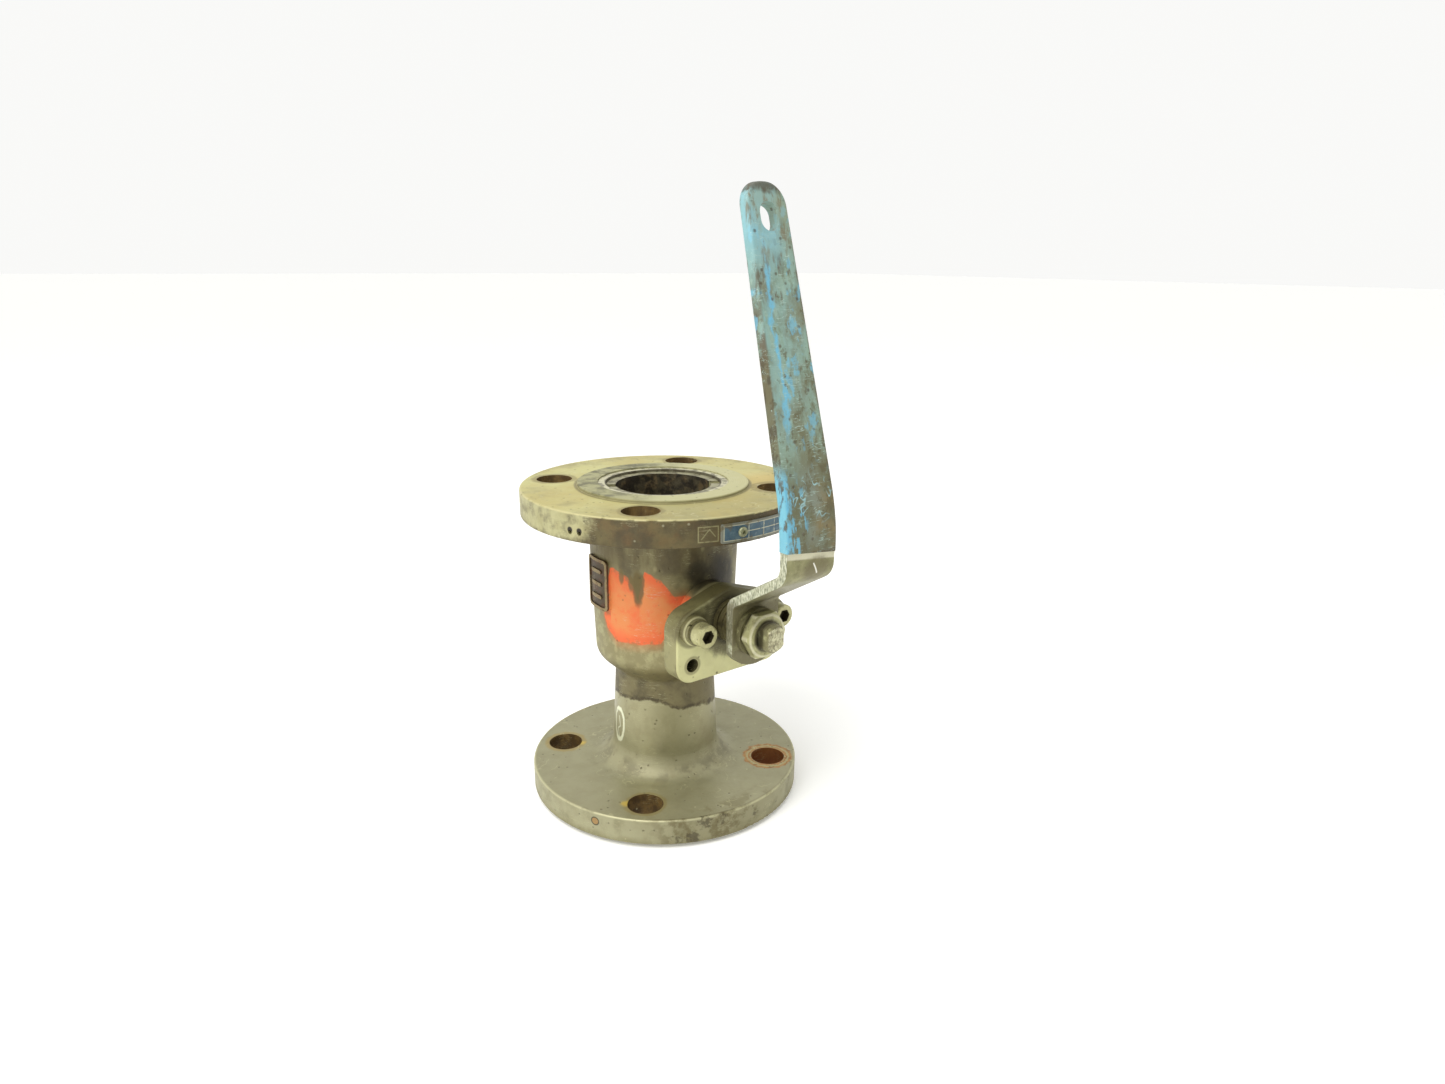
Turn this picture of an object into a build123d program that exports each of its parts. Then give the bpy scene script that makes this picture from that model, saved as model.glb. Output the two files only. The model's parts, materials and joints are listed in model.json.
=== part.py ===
"""Flanged quarter-turn ball valve, two-inch class 150, with a bent lever handle.

Frame: origin at the centre of the lower flange's raised face, +Z up along the pipe axis
to the insert end, and the stem points along -Y. Lengths are in millimetres.
"""
from build123d import *
from math import atan2, cos, degrees, radians, sin
import os

# ---- pipe flanges, two-inch class 150 -------------------------------------------------
FACE_TO_FACE = 177.8
FLANGE_RADIUS = 76.2
FLANGE_THICKNESS = 15.9
RAISED_FACE_RADIUS = 46.05
RAISED_FACE_HEIGHT = 1.6
BOLT_CIRCLE_RADIUS = 60.325
BOLT_HOLE_RADIUS = 9.525
BOLT_COUNT = 4
FLANGE_EDGE = 1.0
PORT_RADIUS = 25.4
PORT_STRAIGHT = 12.0

# ---- body casting ---------------------------------------------------------------------
STEM_HEIGHT = 116.5
NECK_BASE_RADIUS = 30.6
NECK_TOP_RADIUS = 27.8
NECK_TOP_Z = 72.2
NECK_FILLET = 12.0
SHOULDER_RADIUS = 38.2
SHOULDER_Z = 82.2
CHAMBER_OUTER_RADIUS = 40.3
CHAMBER_STRAIGHT_Z = 140.0
CHAMBER_RADIUS = 32.4
NECK_BORE_Z = 44.0

# ---- ball and seats -------------------------------------------------------------------
BALL_RADIUS = 30.0
BALL_PORT_RADIUS = 19.05
BALL_SLOT_WIDTH = 9.5
BALL_SLOT_FLOOR = 22.2
SEAT_RADIUS = 30.0
SEAT_PORT_RADIUS = 19.3
SEAT_INNER_HEIGHT = 20.0
SEAT_OUTER_HEIGHT = 30.0
SEAT_CLEARANCE = 0.2
ASSEMBLY_GAP = 0.1

# ---- threaded end insert --------------------------------------------------------------
INSERT_RADIUS = 35.0
INSERT_SKIRT_RADIUS = 32.2
INSERT_BOTTOM_Z = 138.0
INSERT_SEAL_Z = 150.0
INSERT_SEAL_HEIGHT = 2.5
INSERT_TOP_Z = 177.1
INSERT_STEP_RADIUS = 31.0
INSERT_STEP_Z = 175.8
SPANNER_SLOT_WIDTH = 6.0
SPANNER_SLOT_DEPTH = 3.5
SPANNER_SLOT_ANGLE = -27.0

# ---- stem pad: distances out from the pipe axis, and sizes across the stem axis --------
PAD_BACK = 49.0
PAD_FACE = 60.0
PAD_HALF_WIDTH = 34.0
PAD_BELOW_STEM = 29.0
PAD_TOP_RADIUS = 16.5
PAD_SHOULDER_ABOVE_STEM = 6.3
PAD_SLOPE = 18.0
PAD_LOWER_CORNER = 10.0
PAD_UPPER_CORNER = 12.0
PAD_NECK_HALF_WIDTH = 19.0
PAD_NECK_RADIUS = 15.5
PAD_EDGE = 0.8
BRACKET_HOLE_SPACING = 49.0
BRACKET_HOLE_BELOW_STEM = 19.5
BRACKET_HOLE_RADIUS = 3.6
BRACKET_HOLE_DEPTH = 10.0

# ---- stem, packing and gland, out along the stem axis ----------------------------------
STEM_BORE_RADIUS = 8.0
STEM_RADIUS = 7.92
STEM_COLLAR_RADIUS = 10.5
STEM_COLLAR_POCKET_RADIUS = 10.8
STEM_COLLAR_START = 31.0
STEM_COLLAR_END = 35.5
THRUST_WASHER_END = 37.0
PACKING_START = 44.0
PACKING_RING_HEIGHT = 2.9
PACKING_BOX_RADIUS = 11.5
COMPRESSION_RING_END = 62.5
DISC_SPRING_HEIGHT = 2.4
DISC_SPRING_THICKNESS = 1.5
STOP_PLATE_START = 67.3
LEVER_BACK = 74.5
STEM_THREAD_RADIUS = 7.14
STEM_THREAD_PITCH = 1.411
STEM_THREAD_DEPTH = 0.75
STEM_THREAD_START = 66.0
STEM_END = 95.0
STEM_FLATS_WIDTH = 9.5
STEM_FLATS_START = 67.0
TANG_WIDTH = 19.0
TANG_THICKNESS = 9.4
TANG_START = 22.6
KEY_GAP = 0.05

# ---- quarter-turn stop ----------------------------------------------------------------
STOP_SCREW_OFFSET = 24.6
SCREW_BOSS_RADIUS = 7.6
SCREW_BOSS_FACE = 63.6
SCREW_WASHER_THICKNESS = 1.6
SCREW_WASHER_RADIUS = 6.9
SCREW_HEAD_RADIUS = 5.95
SCREW_HEAD_HEIGHT = 7.9
SCREW_SHANK_RADIUS = 3.95
SCREW_SHANK_END = 52.5
SCREW_SOCKET_WIDTH = 6.35
SCREW_SOCKET_DEPTH = 4.2
STOP_HUB_RADIUS = 11.5
STOP_LUG_RADIUS = 21.0
STOP_GAP = 0.1
QUARTER_TURN = 90.0

# ---- lever ----------------------------------------------------------------------------
LEVER_THICKNESS = 4.8
LEVER_HALF_WIDTH = 14.8
LEVER_ROOT_RADIUS = 18.0
LEVER_TIP_HALF_WIDTH = 10.6
LEVER_TOP_Z = 323.0
LEVER_TAPER_START_Z = 176.0
LEVER_RELIEF_RADIUS = 11.0
LEVER_EDGE = 0.5
GRIP_SKIN = 0.6
GRIP_START_Z = 166.2
GRIP_START_SLANT = 6.8
GRIP_EDGE = 1.5
HANGING_HOLE_Z = 308.6
HANGING_HOLE_LENGTH = 12.8
HANGING_HOLE_WIDTH = 10.0
HANGING_HOLE_SKIN = 1.2
# corners of the bar's centre line seen from the side: distance out, height, bend radius
LEVER_BENDS = [
    (76.9, 132.6, 6.0),
    (114.5, 155.0, 8.0),
    (114.5, 180.5, 110.0),
]
LEVER_END_OUT = 74.6
LEVER_END_Z = 322.5

# ---- nut and lock washer on the stem ----------------------------------------------------
LEVER_WASHER_RADIUS = 12.6
LEVER_WASHER_THICKNESS = 3.2
LEVER_WASHER_SPLIT = 1.6
NUT_ACROSS_FLATS = 22.2
NUT_HEIGHT = 6.0
NUT_FACE_RADIUS = 10.4
NUT_CHAMFER = 1.5
THREAD_GAP = 0.05

# ---- markings on the casting -------------------------------------------------------------
NAMEPLATE_START = -14.0
NAMEPLATE_END = 24.0
NAMEPLATE_BOTTOM_Z = 163.0
NAMEPLATE_TOP_Z = 172.6
NAMEPLATE_THICKNESS = 0.7
DRIVE_SCREW_ANGLES = (-5.3, 15.3)
DRIVE_SCREW_HEAD_RADIUS = 2.5
DRIVE_SCREW_HEAD_HEIGHT = 1.3
DRIVE_SCREW_SHANK_RADIUS = 1.2
DRIVE_SCREW_LENGTH = 5.0
DRIVE_SCREW_DIMPLE = 0.9
OLD_PLATE_HOLE_ANGLES = (-70.5, -66.3)
OLD_PLATE_HOLE_RADIUS = 1.1
OLD_PLATE_HOLE_Z = 166.6
DRIVE_SCREW_Z = 167.8
FOUNDRY_PAD_ANGLE = -94.0
FOUNDRY_PAD_Z = 127.0
FOUNDRY_PAD_WIDTH = 20.0
FOUNDRY_PAD_HEIGHT = 28.0
FOUNDRY_PAD_RADIUS = 41.3
FOUNDRY_MARK_RADIUS = 42.0
FOUNDRY_BORDER = 1.6


def tube(outer, inner, bottom, top):
    """A ring about the local Z axis between two heights."""
    ring = Pos(0, 0, bottom) * Cylinder(outer, top - bottom, align=UPRIGHT)
    if inner == 0:
        return ring
    margin = 1.0
    hole = Pos(0, 0, bottom - margin) * Cylinder(inner, top - bottom + 2 * margin, align=UPRIGHT)
    return ring - hole


def turned(points, radii):
    """A solid of revolution from (radius, height) points with a rounding for each corner."""
    outline = FilletPolyline(*points, radius=radii, close=True)
    return revolve(Plane.XZ * make_face(outline), Axis.Z)


def turned_sharp(points):
    """A solid of revolution from (radius, height) points with sharp corners."""
    return revolve(Plane.XZ * make_face(Polyline(*points, close=True)), Axis.Z)


def on_stem(shape):
    """Carry a shape drawn along local +Z, with local +Y up, onto the stem axis."""
    return Pos(0, 0, STEM_HEIGHT) * Rot(90, 0, 0) * shape


def on_rim(shape, angle, height):
    """Carry a shape drawn along local +Z to point outward at an angle from -Y towards +X."""
    return Pos(0, 0, height) * Rot(0, 0, angle) * Rot(90, 0, 0) * shape


UPRIGHT = (Align.CENTER, Align.CENTER, Align.MIN)


# ---- body -----------------------------------------------------------------------------
def body_outside():
    """Both flanges, the neck and the chamber wall as one turned shape."""
    top_back = FACE_TO_FACE - FLANGE_THICKNESS
    top_front = FACE_TO_FACE - RAISED_FACE_HEIGHT
    axis_end = 10.0
    corners = [
        (axis_end, 0, 0),
        (RAISED_FACE_RADIUS, 0, 0.4),
        (RAISED_FACE_RADIUS, RAISED_FACE_HEIGHT, 0.4),
        (FLANGE_RADIUS, RAISED_FACE_HEIGHT, FLANGE_EDGE),
        (FLANGE_RADIUS, FLANGE_THICKNESS, FLANGE_EDGE),
        (NECK_BASE_RADIUS, FLANGE_THICKNESS, NECK_FILLET),
        (NECK_TOP_RADIUS, NECK_TOP_Z, 3.0),
        (SHOULDER_RADIUS, SHOULDER_Z, 10.0),
        (CHAMBER_OUTER_RADIUS, CHAMBER_STRAIGHT_Z, 20.0),
        (CHAMBER_OUTER_RADIUS, top_back, 2.5),
        (FLANGE_RADIUS, top_back, FLANGE_EDGE),
        (FLANGE_RADIUS, top_front, FLANGE_EDGE),
        (RAISED_FACE_RADIUS, top_front, 0.4),
        (RAISED_FACE_RADIUS, FACE_TO_FACE, 0.4),
        (axis_end, FACE_TO_FACE, 0),
    ]
    points = [(radius, height) for radius, height, _ in corners]
    radii = [rounding for _, _, rounding in corners]
    return turned(points, radii) + tube(axis_end + 1, 0, 0, FACE_TO_FACE)


def body_passage():
    """The flow passage, seat pocket, ball chamber and insert bore."""
    lower_seat_floor = STEM_HEIGHT - SEAT_OUTER_HEIGHT
    seat_pocket_top = STEM_HEIGHT - SEAT_INNER_HEIGHT + 1
    beyond = 5.0
    return turned_sharp([
        (0, -beyond),
        (PORT_RADIUS, -beyond),
        (PORT_RADIUS, PORT_STRAIGHT),
        (BALL_PORT_RADIUS, NECK_BORE_Z),
        (BALL_PORT_RADIUS, lower_seat_floor),
        (SEAT_RADIUS + ASSEMBLY_GAP, lower_seat_floor),
        (SEAT_RADIUS + ASSEMBLY_GAP, seat_pocket_top),
        (CHAMBER_RADIUS, seat_pocket_top + 2),
        (CHAMBER_RADIUS, INSERT_SEAL_Z),
        (INSERT_RADIUS + ASSEMBLY_GAP, INSERT_SEAL_Z),
        (INSERT_RADIUS + ASSEMBLY_GAP, FACE_TO_FACE + beyond),
        (0, FACE_TO_FACE + beyond),
    ])


def pad_outline():
    """Face of the stem pad: flat foot, upright sides and sloping shoulders under a round top."""
    shoulder = (PAD_HALF_WIDTH, PAD_SHOULDER_ABOVE_STEM)
    touch = (PAD_TOP_RADIUS * sin(radians(PAD_SLOPE)), PAD_TOP_RADIUS * cos(radians(PAD_SLOPE)))
    right = [(PAD_HALF_WIDTH, -PAD_BELOW_STEM), shoulder, touch]
    left = [(-across, up) for across, up in reversed(right)]
    blunt = 0
    radii = [PAD_LOWER_CORNER, PAD_UPPER_CORNER, blunt, blunt, PAD_UPPER_CORNER, PAD_LOWER_CORNER]
    outline = make_face(FilletPolyline(*right, *left, radius=radii, close=True))
    return outline + Circle(PAD_TOP_RADIUS)


def stem_pad():
    """The pad, the neck that joins it to the chamber, and the two screw bosses."""
    outline = pad_outline()
    plate = Pos(0, 0, PAD_BACK) * extrude(outline, PAD_FACE - PAD_BACK)
    plate = chamfer(plate.faces().sort_by(Axis.Z)[-1].edges(), PAD_EDGE)
    neck_start = CHAMBER_RADIUS - 10
    below_stem = Rectangle(2 * PAD_NECK_HALF_WIDTH, PAD_BELOW_STEM - PAD_EDGE,
                           align=(Align.CENTER, Align.MAX))
    neck_section = below_stem + Circle(PAD_NECK_RADIUS)
    neck = Pos(0, 0, neck_start) * extrude(neck_section, PAD_BACK - neck_start)
    bosses = [
        Pos(side * STOP_SCREW_OFFSET, 0, 0)
        * tube(SCREW_BOSS_RADIUS, 0, PAD_FACE - 1, SCREW_BOSS_FACE)
        for side in (-1, 1)
    ]
    bosses = [fillet(boss.faces().sort_by(Axis.Z)[-1].edges(), 0.8) for boss in bosses]
    return on_stem(plate + neck + bosses)


def stem_bores():
    """Collar pocket, stem bore, stuffing box, screw holes and bracket holes."""
    inner_start = CHAMBER_RADIUS - 6
    beyond = 5.0
    cuts = [
        tube(STEM_COLLAR_POCKET_RADIUS, 0, inner_start, THRUST_WASHER_END),
        tube(STEM_BORE_RADIUS, 0, inner_start, PAD_FACE),
        tube(PACKING_BOX_RADIUS, 0, PACKING_START, PAD_FACE + beyond),
    ]
    for side in (-1, 1):
        cuts.append(Pos(side * STOP_SCREW_OFFSET, 0, 0)
                    * tube(SCREW_SHANK_RADIUS + ASSEMBLY_GAP, 0, SCREW_SHANK_END - 1,
                           PAD_FACE + beyond))
        cuts.append(Pos(side * BRACKET_HOLE_SPACING / 2, -BRACKET_HOLE_BELOW_STEM, 0)
                    * tube(BRACKET_HOLE_RADIUS, 0, PAD_FACE - BRACKET_HOLE_DEPTH,
                           PAD_FACE + beyond))
    return [on_stem(cut) for cut in cuts]


def foundry_pad():
    """Raised pad on the chamber with a border and three plain bars."""
    depth = 8.0
    start = CHAMBER_OUTER_RADIUS - depth
    plate = extrude(RectangleRounded(FOUNDRY_PAD_WIDTH, FOUNDRY_PAD_HEIGHT, 2.5), 2 * depth)
    inside = RectangleRounded(FOUNDRY_PAD_WIDTH - 2 * FOUNDRY_BORDER,
                              FOUNDRY_PAD_HEIGHT - 2 * FOUNDRY_BORDER, 1.5)
    marks = plate - extrude(inside, 2 * depth)
    bar_width = FOUNDRY_PAD_WIDTH * 0.5
    bar_height = 2.0
    for step in (-1, 0, 1):
        bar = extrude(RectangleRounded(bar_width, bar_height, 0.8), 2 * depth)
        marks += Pos(0, step * FOUNDRY_PAD_HEIGHT / 4, 0) * bar
    placed_plate = on_rim(Pos(0, 0, start) * plate, FOUNDRY_PAD_ANGLE, FOUNDRY_PAD_Z)
    placed_marks = on_rim(Pos(0, 0, start) * marks, FOUNDRY_PAD_ANGLE, FOUNDRY_PAD_Z)
    low = tube(FOUNDRY_PAD_RADIUS, 0, 0, FACE_TO_FACE)
    high = tube(FOUNDRY_MARK_RADIUS, 0, 0, FACE_TO_FACE)
    return (placed_plate & low) + (placed_marks & high)


def bolt_holes():
    """Four bolt holes, straddling the centre lines, through both flanges."""
    through = tube(BOLT_HOLE_RADIUS, 0, -5, FACE_TO_FACE + 5)
    return [
        Rot(0, 0, 45 + 360 / BOLT_COUNT * index) * Pos(BOLT_CIRCLE_RADIUS, 0, 0) * through
        for index in range(BOLT_COUNT)
    ]


def rim_hole(angle, height, radius, depth):
    """A small radial hole in the upper flange rim."""
    hole = tube(radius, 0, FLANGE_RADIUS - depth, FLANGE_RADIUS + 2)
    return on_rim(hole, angle, height)


def valve_body():
    body = body_outside() + stem_pad() + foundry_pad()
    body -= body_passage()
    body -= stem_bores()
    body -= bolt_holes()
    for angle in OLD_PLATE_HOLE_ANGLES:
        body -= rim_hole(angle, OLD_PLATE_HOLE_Z, OLD_PLATE_HOLE_RADIUS, 4.0)
    for angle in DRIVE_SCREW_ANGLES:
        shank_hole = DRIVE_SCREW_SHANK_RADIUS + KEY_GAP
        body -= rim_hole(angle, DRIVE_SCREW_Z, shank_hole, DRIVE_SCREW_LENGTH)
    return body


# ---- end insert, seal and seats ----------------------------------------------------------
def body_insert():
    """Threaded insert: seat pocket below, conical passage, two spanner slots on top."""
    seat_floor = STEM_HEIGHT + SEAT_OUTER_HEIGHT
    seal_top = INSERT_SEAL_Z + INSERT_SEAL_HEIGHT
    pocket = SEAT_RADIUS + ASSEMBLY_GAP
    insert = turned_sharp([
        (pocket, INSERT_BOTTOM_Z),
        (INSERT_SKIRT_RADIUS, INSERT_BOTTOM_Z),
        (INSERT_SKIRT_RADIUS, seal_top),
        (INSERT_RADIUS, seal_top),
        (INSERT_RADIUS, INSERT_TOP_Z),
        (INSERT_STEP_RADIUS, INSERT_TOP_Z),
        (INSERT_STEP_RADIUS, INSERT_STEP_Z),
        (PORT_RADIUS, INSERT_STEP_Z),
        (PORT_RADIUS, INSERT_STEP_Z - PORT_STRAIGHT),
        (BALL_PORT_RADIUS, seat_floor + 3),
        (BALL_PORT_RADIUS, seat_floor),
        (pocket, seat_floor),
    ])
    slot = Box(2 * INSERT_STEP_RADIUS, SPANNER_SLOT_WIDTH, 2 * SPANNER_SLOT_DEPTH)
    return insert - Pos(0, 0, INSERT_STEP_Z) * Rot(0, 0, SPANNER_SLOT_ANGLE) * slot


def insert_seal():
    inner = INSERT_SKIRT_RADIUS + 0.15
    return tube(INSERT_RADIUS, inner, INSERT_SEAL_Z, INSERT_SEAL_Z + INSERT_SEAL_HEIGHT)


def seat_ring(side):
    """A seat with a spherical face; side is -1 below the ball and +1 above it."""
    ring = tube(SEAT_RADIUS, SEAT_PORT_RADIUS, SEAT_INNER_HEIGHT, SEAT_OUTER_HEIGHT)
    ring -= Sphere(BALL_RADIUS + SEAT_CLEARANCE)
    turn = 0 if side > 0 else 180
    return Pos(0, 0, STEM_HEIGHT) * Rot(turn, 0, 0) * ring


def ball():
    """Ball with its port along the pipe axis and the stem slot square across the port."""
    solid = Sphere(BALL_RADIUS) - Cylinder(BALL_PORT_RADIUS, 3 * BALL_RADIUS)
    port_edges = solid.edges().filter_by(GeomType.CIRCLE).group_by(Axis.Z)
    solid = fillet(port_edges[0] + port_edges[-1], 1.0)
    solid = Pos(0, 0, STEM_HEIGHT) * solid
    slot_depth = BALL_RADIUS
    slot = Pos(0, 0, BALL_SLOT_FLOOR) * Box(3 * BALL_RADIUS, BALL_SLOT_WIDTH, slot_depth,
                                             align=UPRIGHT)
    return solid - on_stem(slot)


# ---- stem and gland -------------------------------------------------------------------
def flats(width, start, end):
    """The space between two flats across X, along the stem."""
    reach = 4 * STEM_RADIUS
    return Pos(0, 0, start) * Box(width, reach, end - start, align=UPRIGHT)


def stem_thread():
    """Ridges of the stem thread as rings of one pitch each."""
    root = STEM_THREAD_RADIUS - STEM_THREAD_DEPTH
    turns = int((STEM_END - STEM_THREAD_START) / STEM_THREAD_PITCH)
    points = [(0, STEM_THREAD_START)]
    for turn in range(turns):
        start = STEM_THREAD_START + turn * STEM_THREAD_PITCH
        points.append((root, start))
        points.append((STEM_THREAD_RADIUS, start + 0.4 * STEM_THREAD_PITCH))
        points.append((STEM_THREAD_RADIUS, start + 0.6 * STEM_THREAD_PITCH))
    points.append((root, STEM_THREAD_START + turns * STEM_THREAD_PITCH))
    points.append((root - 0.4, STEM_END))
    points.append((0, STEM_END))
    return turned_sharp(points)


def stem():
    tang_box = Box(TANG_WIDTH, TANG_THICKNESS, STEM_COLLAR_START - TANG_START, align=UPRIGHT)
    tang = (Pos(0, 0, TANG_START) * tang_box) & tube(STEM_COLLAR_RADIUS, 0, TANG_START,
                                                      STEM_COLLAR_START)
    collar = tube(STEM_COLLAR_RADIUS, 0, STEM_COLLAR_START, STEM_COLLAR_END)
    shank = tube(STEM_RADIUS, 0, STEM_COLLAR_END, STEM_FLATS_START)
    driven = stem_thread() & flats(STEM_FLATS_WIDTH, STEM_THREAD_START, STEM_END)
    return on_stem(tang + collar + shank + driven)


def keyed_hole(start, end):
    """The stem's section with flats, with clearance all round, as a cutting shape."""
    hole = tube(STEM_THREAD_RADIUS + KEY_GAP, 0, start - 1, end + 1)
    return hole & flats(STEM_FLATS_WIDTH + 2 * KEY_GAP, start - 1, end + 1)


def thrust_washer():
    ring = tube(STEM_COLLAR_POCKET_RADIUS - KEY_GAP, STEM_BORE_RADIUS,
                STEM_COLLAR_END, THRUST_WASHER_END)
    return on_stem(ring)


def packing_ring(index):
    start = PACKING_START + index * PACKING_RING_HEIGHT
    ring = tube(PACKING_BOX_RADIUS - KEY_GAP, STEM_BORE_RADIUS, start,
                start + PACKING_RING_HEIGHT)
    return on_stem(ring)


def compression_ring():
    start = PACKING_START + 3 * PACKING_RING_HEIGHT
    ring = tube(PACKING_BOX_RADIUS - ASSEMBLY_GAP, STEM_BORE_RADIUS, start, COMPRESSION_RING_END)
    return on_stem(ring)


def disc_spring(index):
    """A dished spring washer; the second is turned over so that the rims meet."""
    start = COMPRESSION_RING_END + index * DISC_SPRING_HEIGHT
    rise = DISC_SPRING_HEIGHT - DISC_SPRING_THICKNESS
    inner = STEM_RADIUS + 0.3
    outer = STOP_HUB_RADIUS - 0.2
    low_in, low_out = (0, rise) if index == 0 else (rise, 0)
    ring = turned_sharp([
        (inner, start + low_in),
        (outer, start + low_out),
        (outer, start + low_out + DISC_SPRING_THICKNESS),
        (inner, start + low_in + DISC_SPRING_THICKNESS),
    ])
    return on_stem(ring)


def stop_plate():
    """Keyed hub with a lug that meets one stop screw at each end of the quarter turn."""
    reach = STOP_LUG_RADIUS
    offset_squared = STOP_SCREW_OFFSET ** 2
    contact_radius = SCREW_HEAD_RADIUS + STOP_GAP
    contact_cos = (reach ** 2 + offset_squared - contact_radius ** 2) / (2 * reach * STOP_SCREW_OFFSET)
    contact_sin = (1 - contact_cos ** 2) ** 0.5
    margin = degrees(atan2(contact_sin, contact_cos)) + 2.5
    lug_start = -margin
    lug_end = -(180 - margin - QUARTER_TURN)
    arc = CenterArc((0, 0), reach, lug_start, lug_end - lug_start)
    lug = make_face(arc + Polyline(arc @ 1, (0, 0), arc @ 0))
    height = LEVER_BACK - STOP_PLATE_START
    lug_height = LEVER_THICKNESS
    lug_body = Pos(0, 0, LEVER_BACK - lug_height) * extrude(lug, lug_height)
    hub = tube(STOP_HUB_RADIUS, 0, STOP_PLATE_START, STOP_PLATE_START + height)
    return on_stem(hub + lug_body - keyed_hole(STOP_PLATE_START, LEVER_BACK))


# ---- lever ----------------------------------------------------------------------------
def bar_side(thickness):
    """Side view of the bent bar, as a solid slab across the full width."""
    start = (-LEVER_BENDS[0][0], STEM_HEIGHT - 2 * LEVER_ROOT_RADIUS)
    corners = [(-out, height) for out, height, _ in LEVER_BENDS]
    end = (-LEVER_END_OUT, LEVER_END_Z + 3)
    radii = [radius for _, _, radius in LEVER_BENDS]
    line = FilletPolyline(start, *corners, end, radius=radii)
    section = trace(line, line_width=thickness)
    return extrude(Plane.YZ * section, 2 * LEVER_HALF_WIDTH, both=True)


def bar_front(margin):
    """Front view of the bar: round root, straight sides, slender taper and round tip."""
    side = LEVER_HALF_WIDTH + margin
    tip = LEVER_TIP_HALF_WIDTH + margin
    right = [
        (side, STEM_HEIGHT),
        (side, LEVER_TAPER_START_Z),
        (tip, LEVER_TOP_Z + margin),
    ]
    left = [(-across, height) for across, height in reversed(right)]
    shoulder_rounding = 60
    tip_rounding = 0.94 * tip
    radii = [0, shoulder_rounding, tip_rounding, tip_rounding, shoulder_rounding, 0]
    blade = make_face(FilletPolyline(*right, *left, radius=radii, close=True))
    root = Pos(0, STEM_HEIGHT) * Circle(LEVER_ROOT_RADIUS)
    blade += root & (Pos(0, STEM_HEIGHT) * Rectangle(2 * side, 4 * side))
    slab = extrude(Plane.XZ * blade, 4 * STEM_END)
    return slab


def hanging_hole(margin):
    """The long hanging hole near the tip, square to the blade."""
    last_bend = LEVER_BENDS[-1]
    run_out = last_bend[0] - LEVER_END_OUT
    run_up = LEVER_END_Z + 3 - last_bend[1]
    lean = degrees(atan2(run_out, run_up))
    share = (HANGING_HOLE_Z - last_bend[1]) / run_up
    out = last_bend[0] - share * run_out
    slot = SlotOverall(HANGING_HOLE_LENGTH + 2 * margin, HANGING_HOLE_WIDTH + 2 * margin, rotation=90)
    cut = extrude(slot, 2 * HANGING_HOLE_LENGTH, both=True)
    return Pos(0, -out, HANGING_HOLE_Z) * Rot(90 - lean, 0, 0) * cut


def bent_bar(thickness, margin, edge):
    """The whole bent bar with its edges rounded."""
    bar = bar_side(thickness) & bar_front(margin)
    return fillet(bar.edges(), edge)


def lever():
    bar = bent_bar(LEVER_THICKNESS, 0, LEVER_EDGE)
    relief = on_stem(Pos(STOP_SCREW_OFFSET, 0, 0) * tube(LEVER_RELIEF_RADIUS, 0, 70, 82))
    bar -= relief
    bar -= on_stem(keyed_hole(LEVER_BACK, LEVER_BACK + LEVER_THICKNESS))
    return bar - hanging_hole(HANGING_HOLE_SKIN)


def lever_grip():
    """Dipped sleeve around the upper blade, open at its lower end only."""
    skin = bent_bar(LEVER_THICKNESS + 2 * GRIP_SKIN, GRIP_SKIN, GRIP_EDGE)
    height = 2 * LEVER_END_Z
    box = Box(height, height, height, align=UPRIGHT)
    keep = Pos(0, -LEVER_END_OUT, GRIP_START_Z) * Rot(0, GRIP_START_SLANT, 0) * box
    skin = skin & keep
    skin -= hanging_hole(0)
    core = bent_bar(LEVER_THICKNESS, 0, LEVER_EDGE) - hanging_hole(HANGING_HOLE_SKIN)
    return skin - core


def lever_lock_washer():
    start = LEVER_BACK + LEVER_THICKNESS
    ring = tube(LEVER_WASHER_RADIUS, STEM_THREAD_RADIUS + 0.3, start, start + LEVER_WASHER_THICKNESS)
    split_at = Pos(LEVER_WASHER_RADIUS * 0.75, 0, start + LEVER_WASHER_THICKNESS / 2)
    split = split_at * Rot(25, 0, 0) * Box(LEVER_WASHER_RADIUS, LEVER_WASHER_SPLIT, 20)
    return on_stem(ring - Rot(0, 0, 48) * split)


def stem_nut():
    start = LEVER_BACK + LEVER_THICKNESS + LEVER_WASHER_THICKNESS
    corner = NUT_ACROSS_FLATS / 2 / cos(radians(30))
    hexagon = Pos(0, 0, start) * extrude(RegularPolygon(corner, 6), NUT_HEIGHT)
    turned_limit = turned_sharp([
        (0, start),
        (NUT_FACE_RADIUS, start),
        (corner + 0.1, start + NUT_CHAMFER),
        (corner + 0.1, start + NUT_HEIGHT - NUT_CHAMFER),
        (NUT_FACE_RADIUS, start + NUT_HEIGHT),
        (0, start + NUT_HEIGHT),
    ])
    hole = tube(STEM_THREAD_RADIUS + THREAD_GAP, 0, start - 1, start + NUT_HEIGHT + 1)
    return on_stem((hexagon & turned_limit) - hole)


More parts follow.
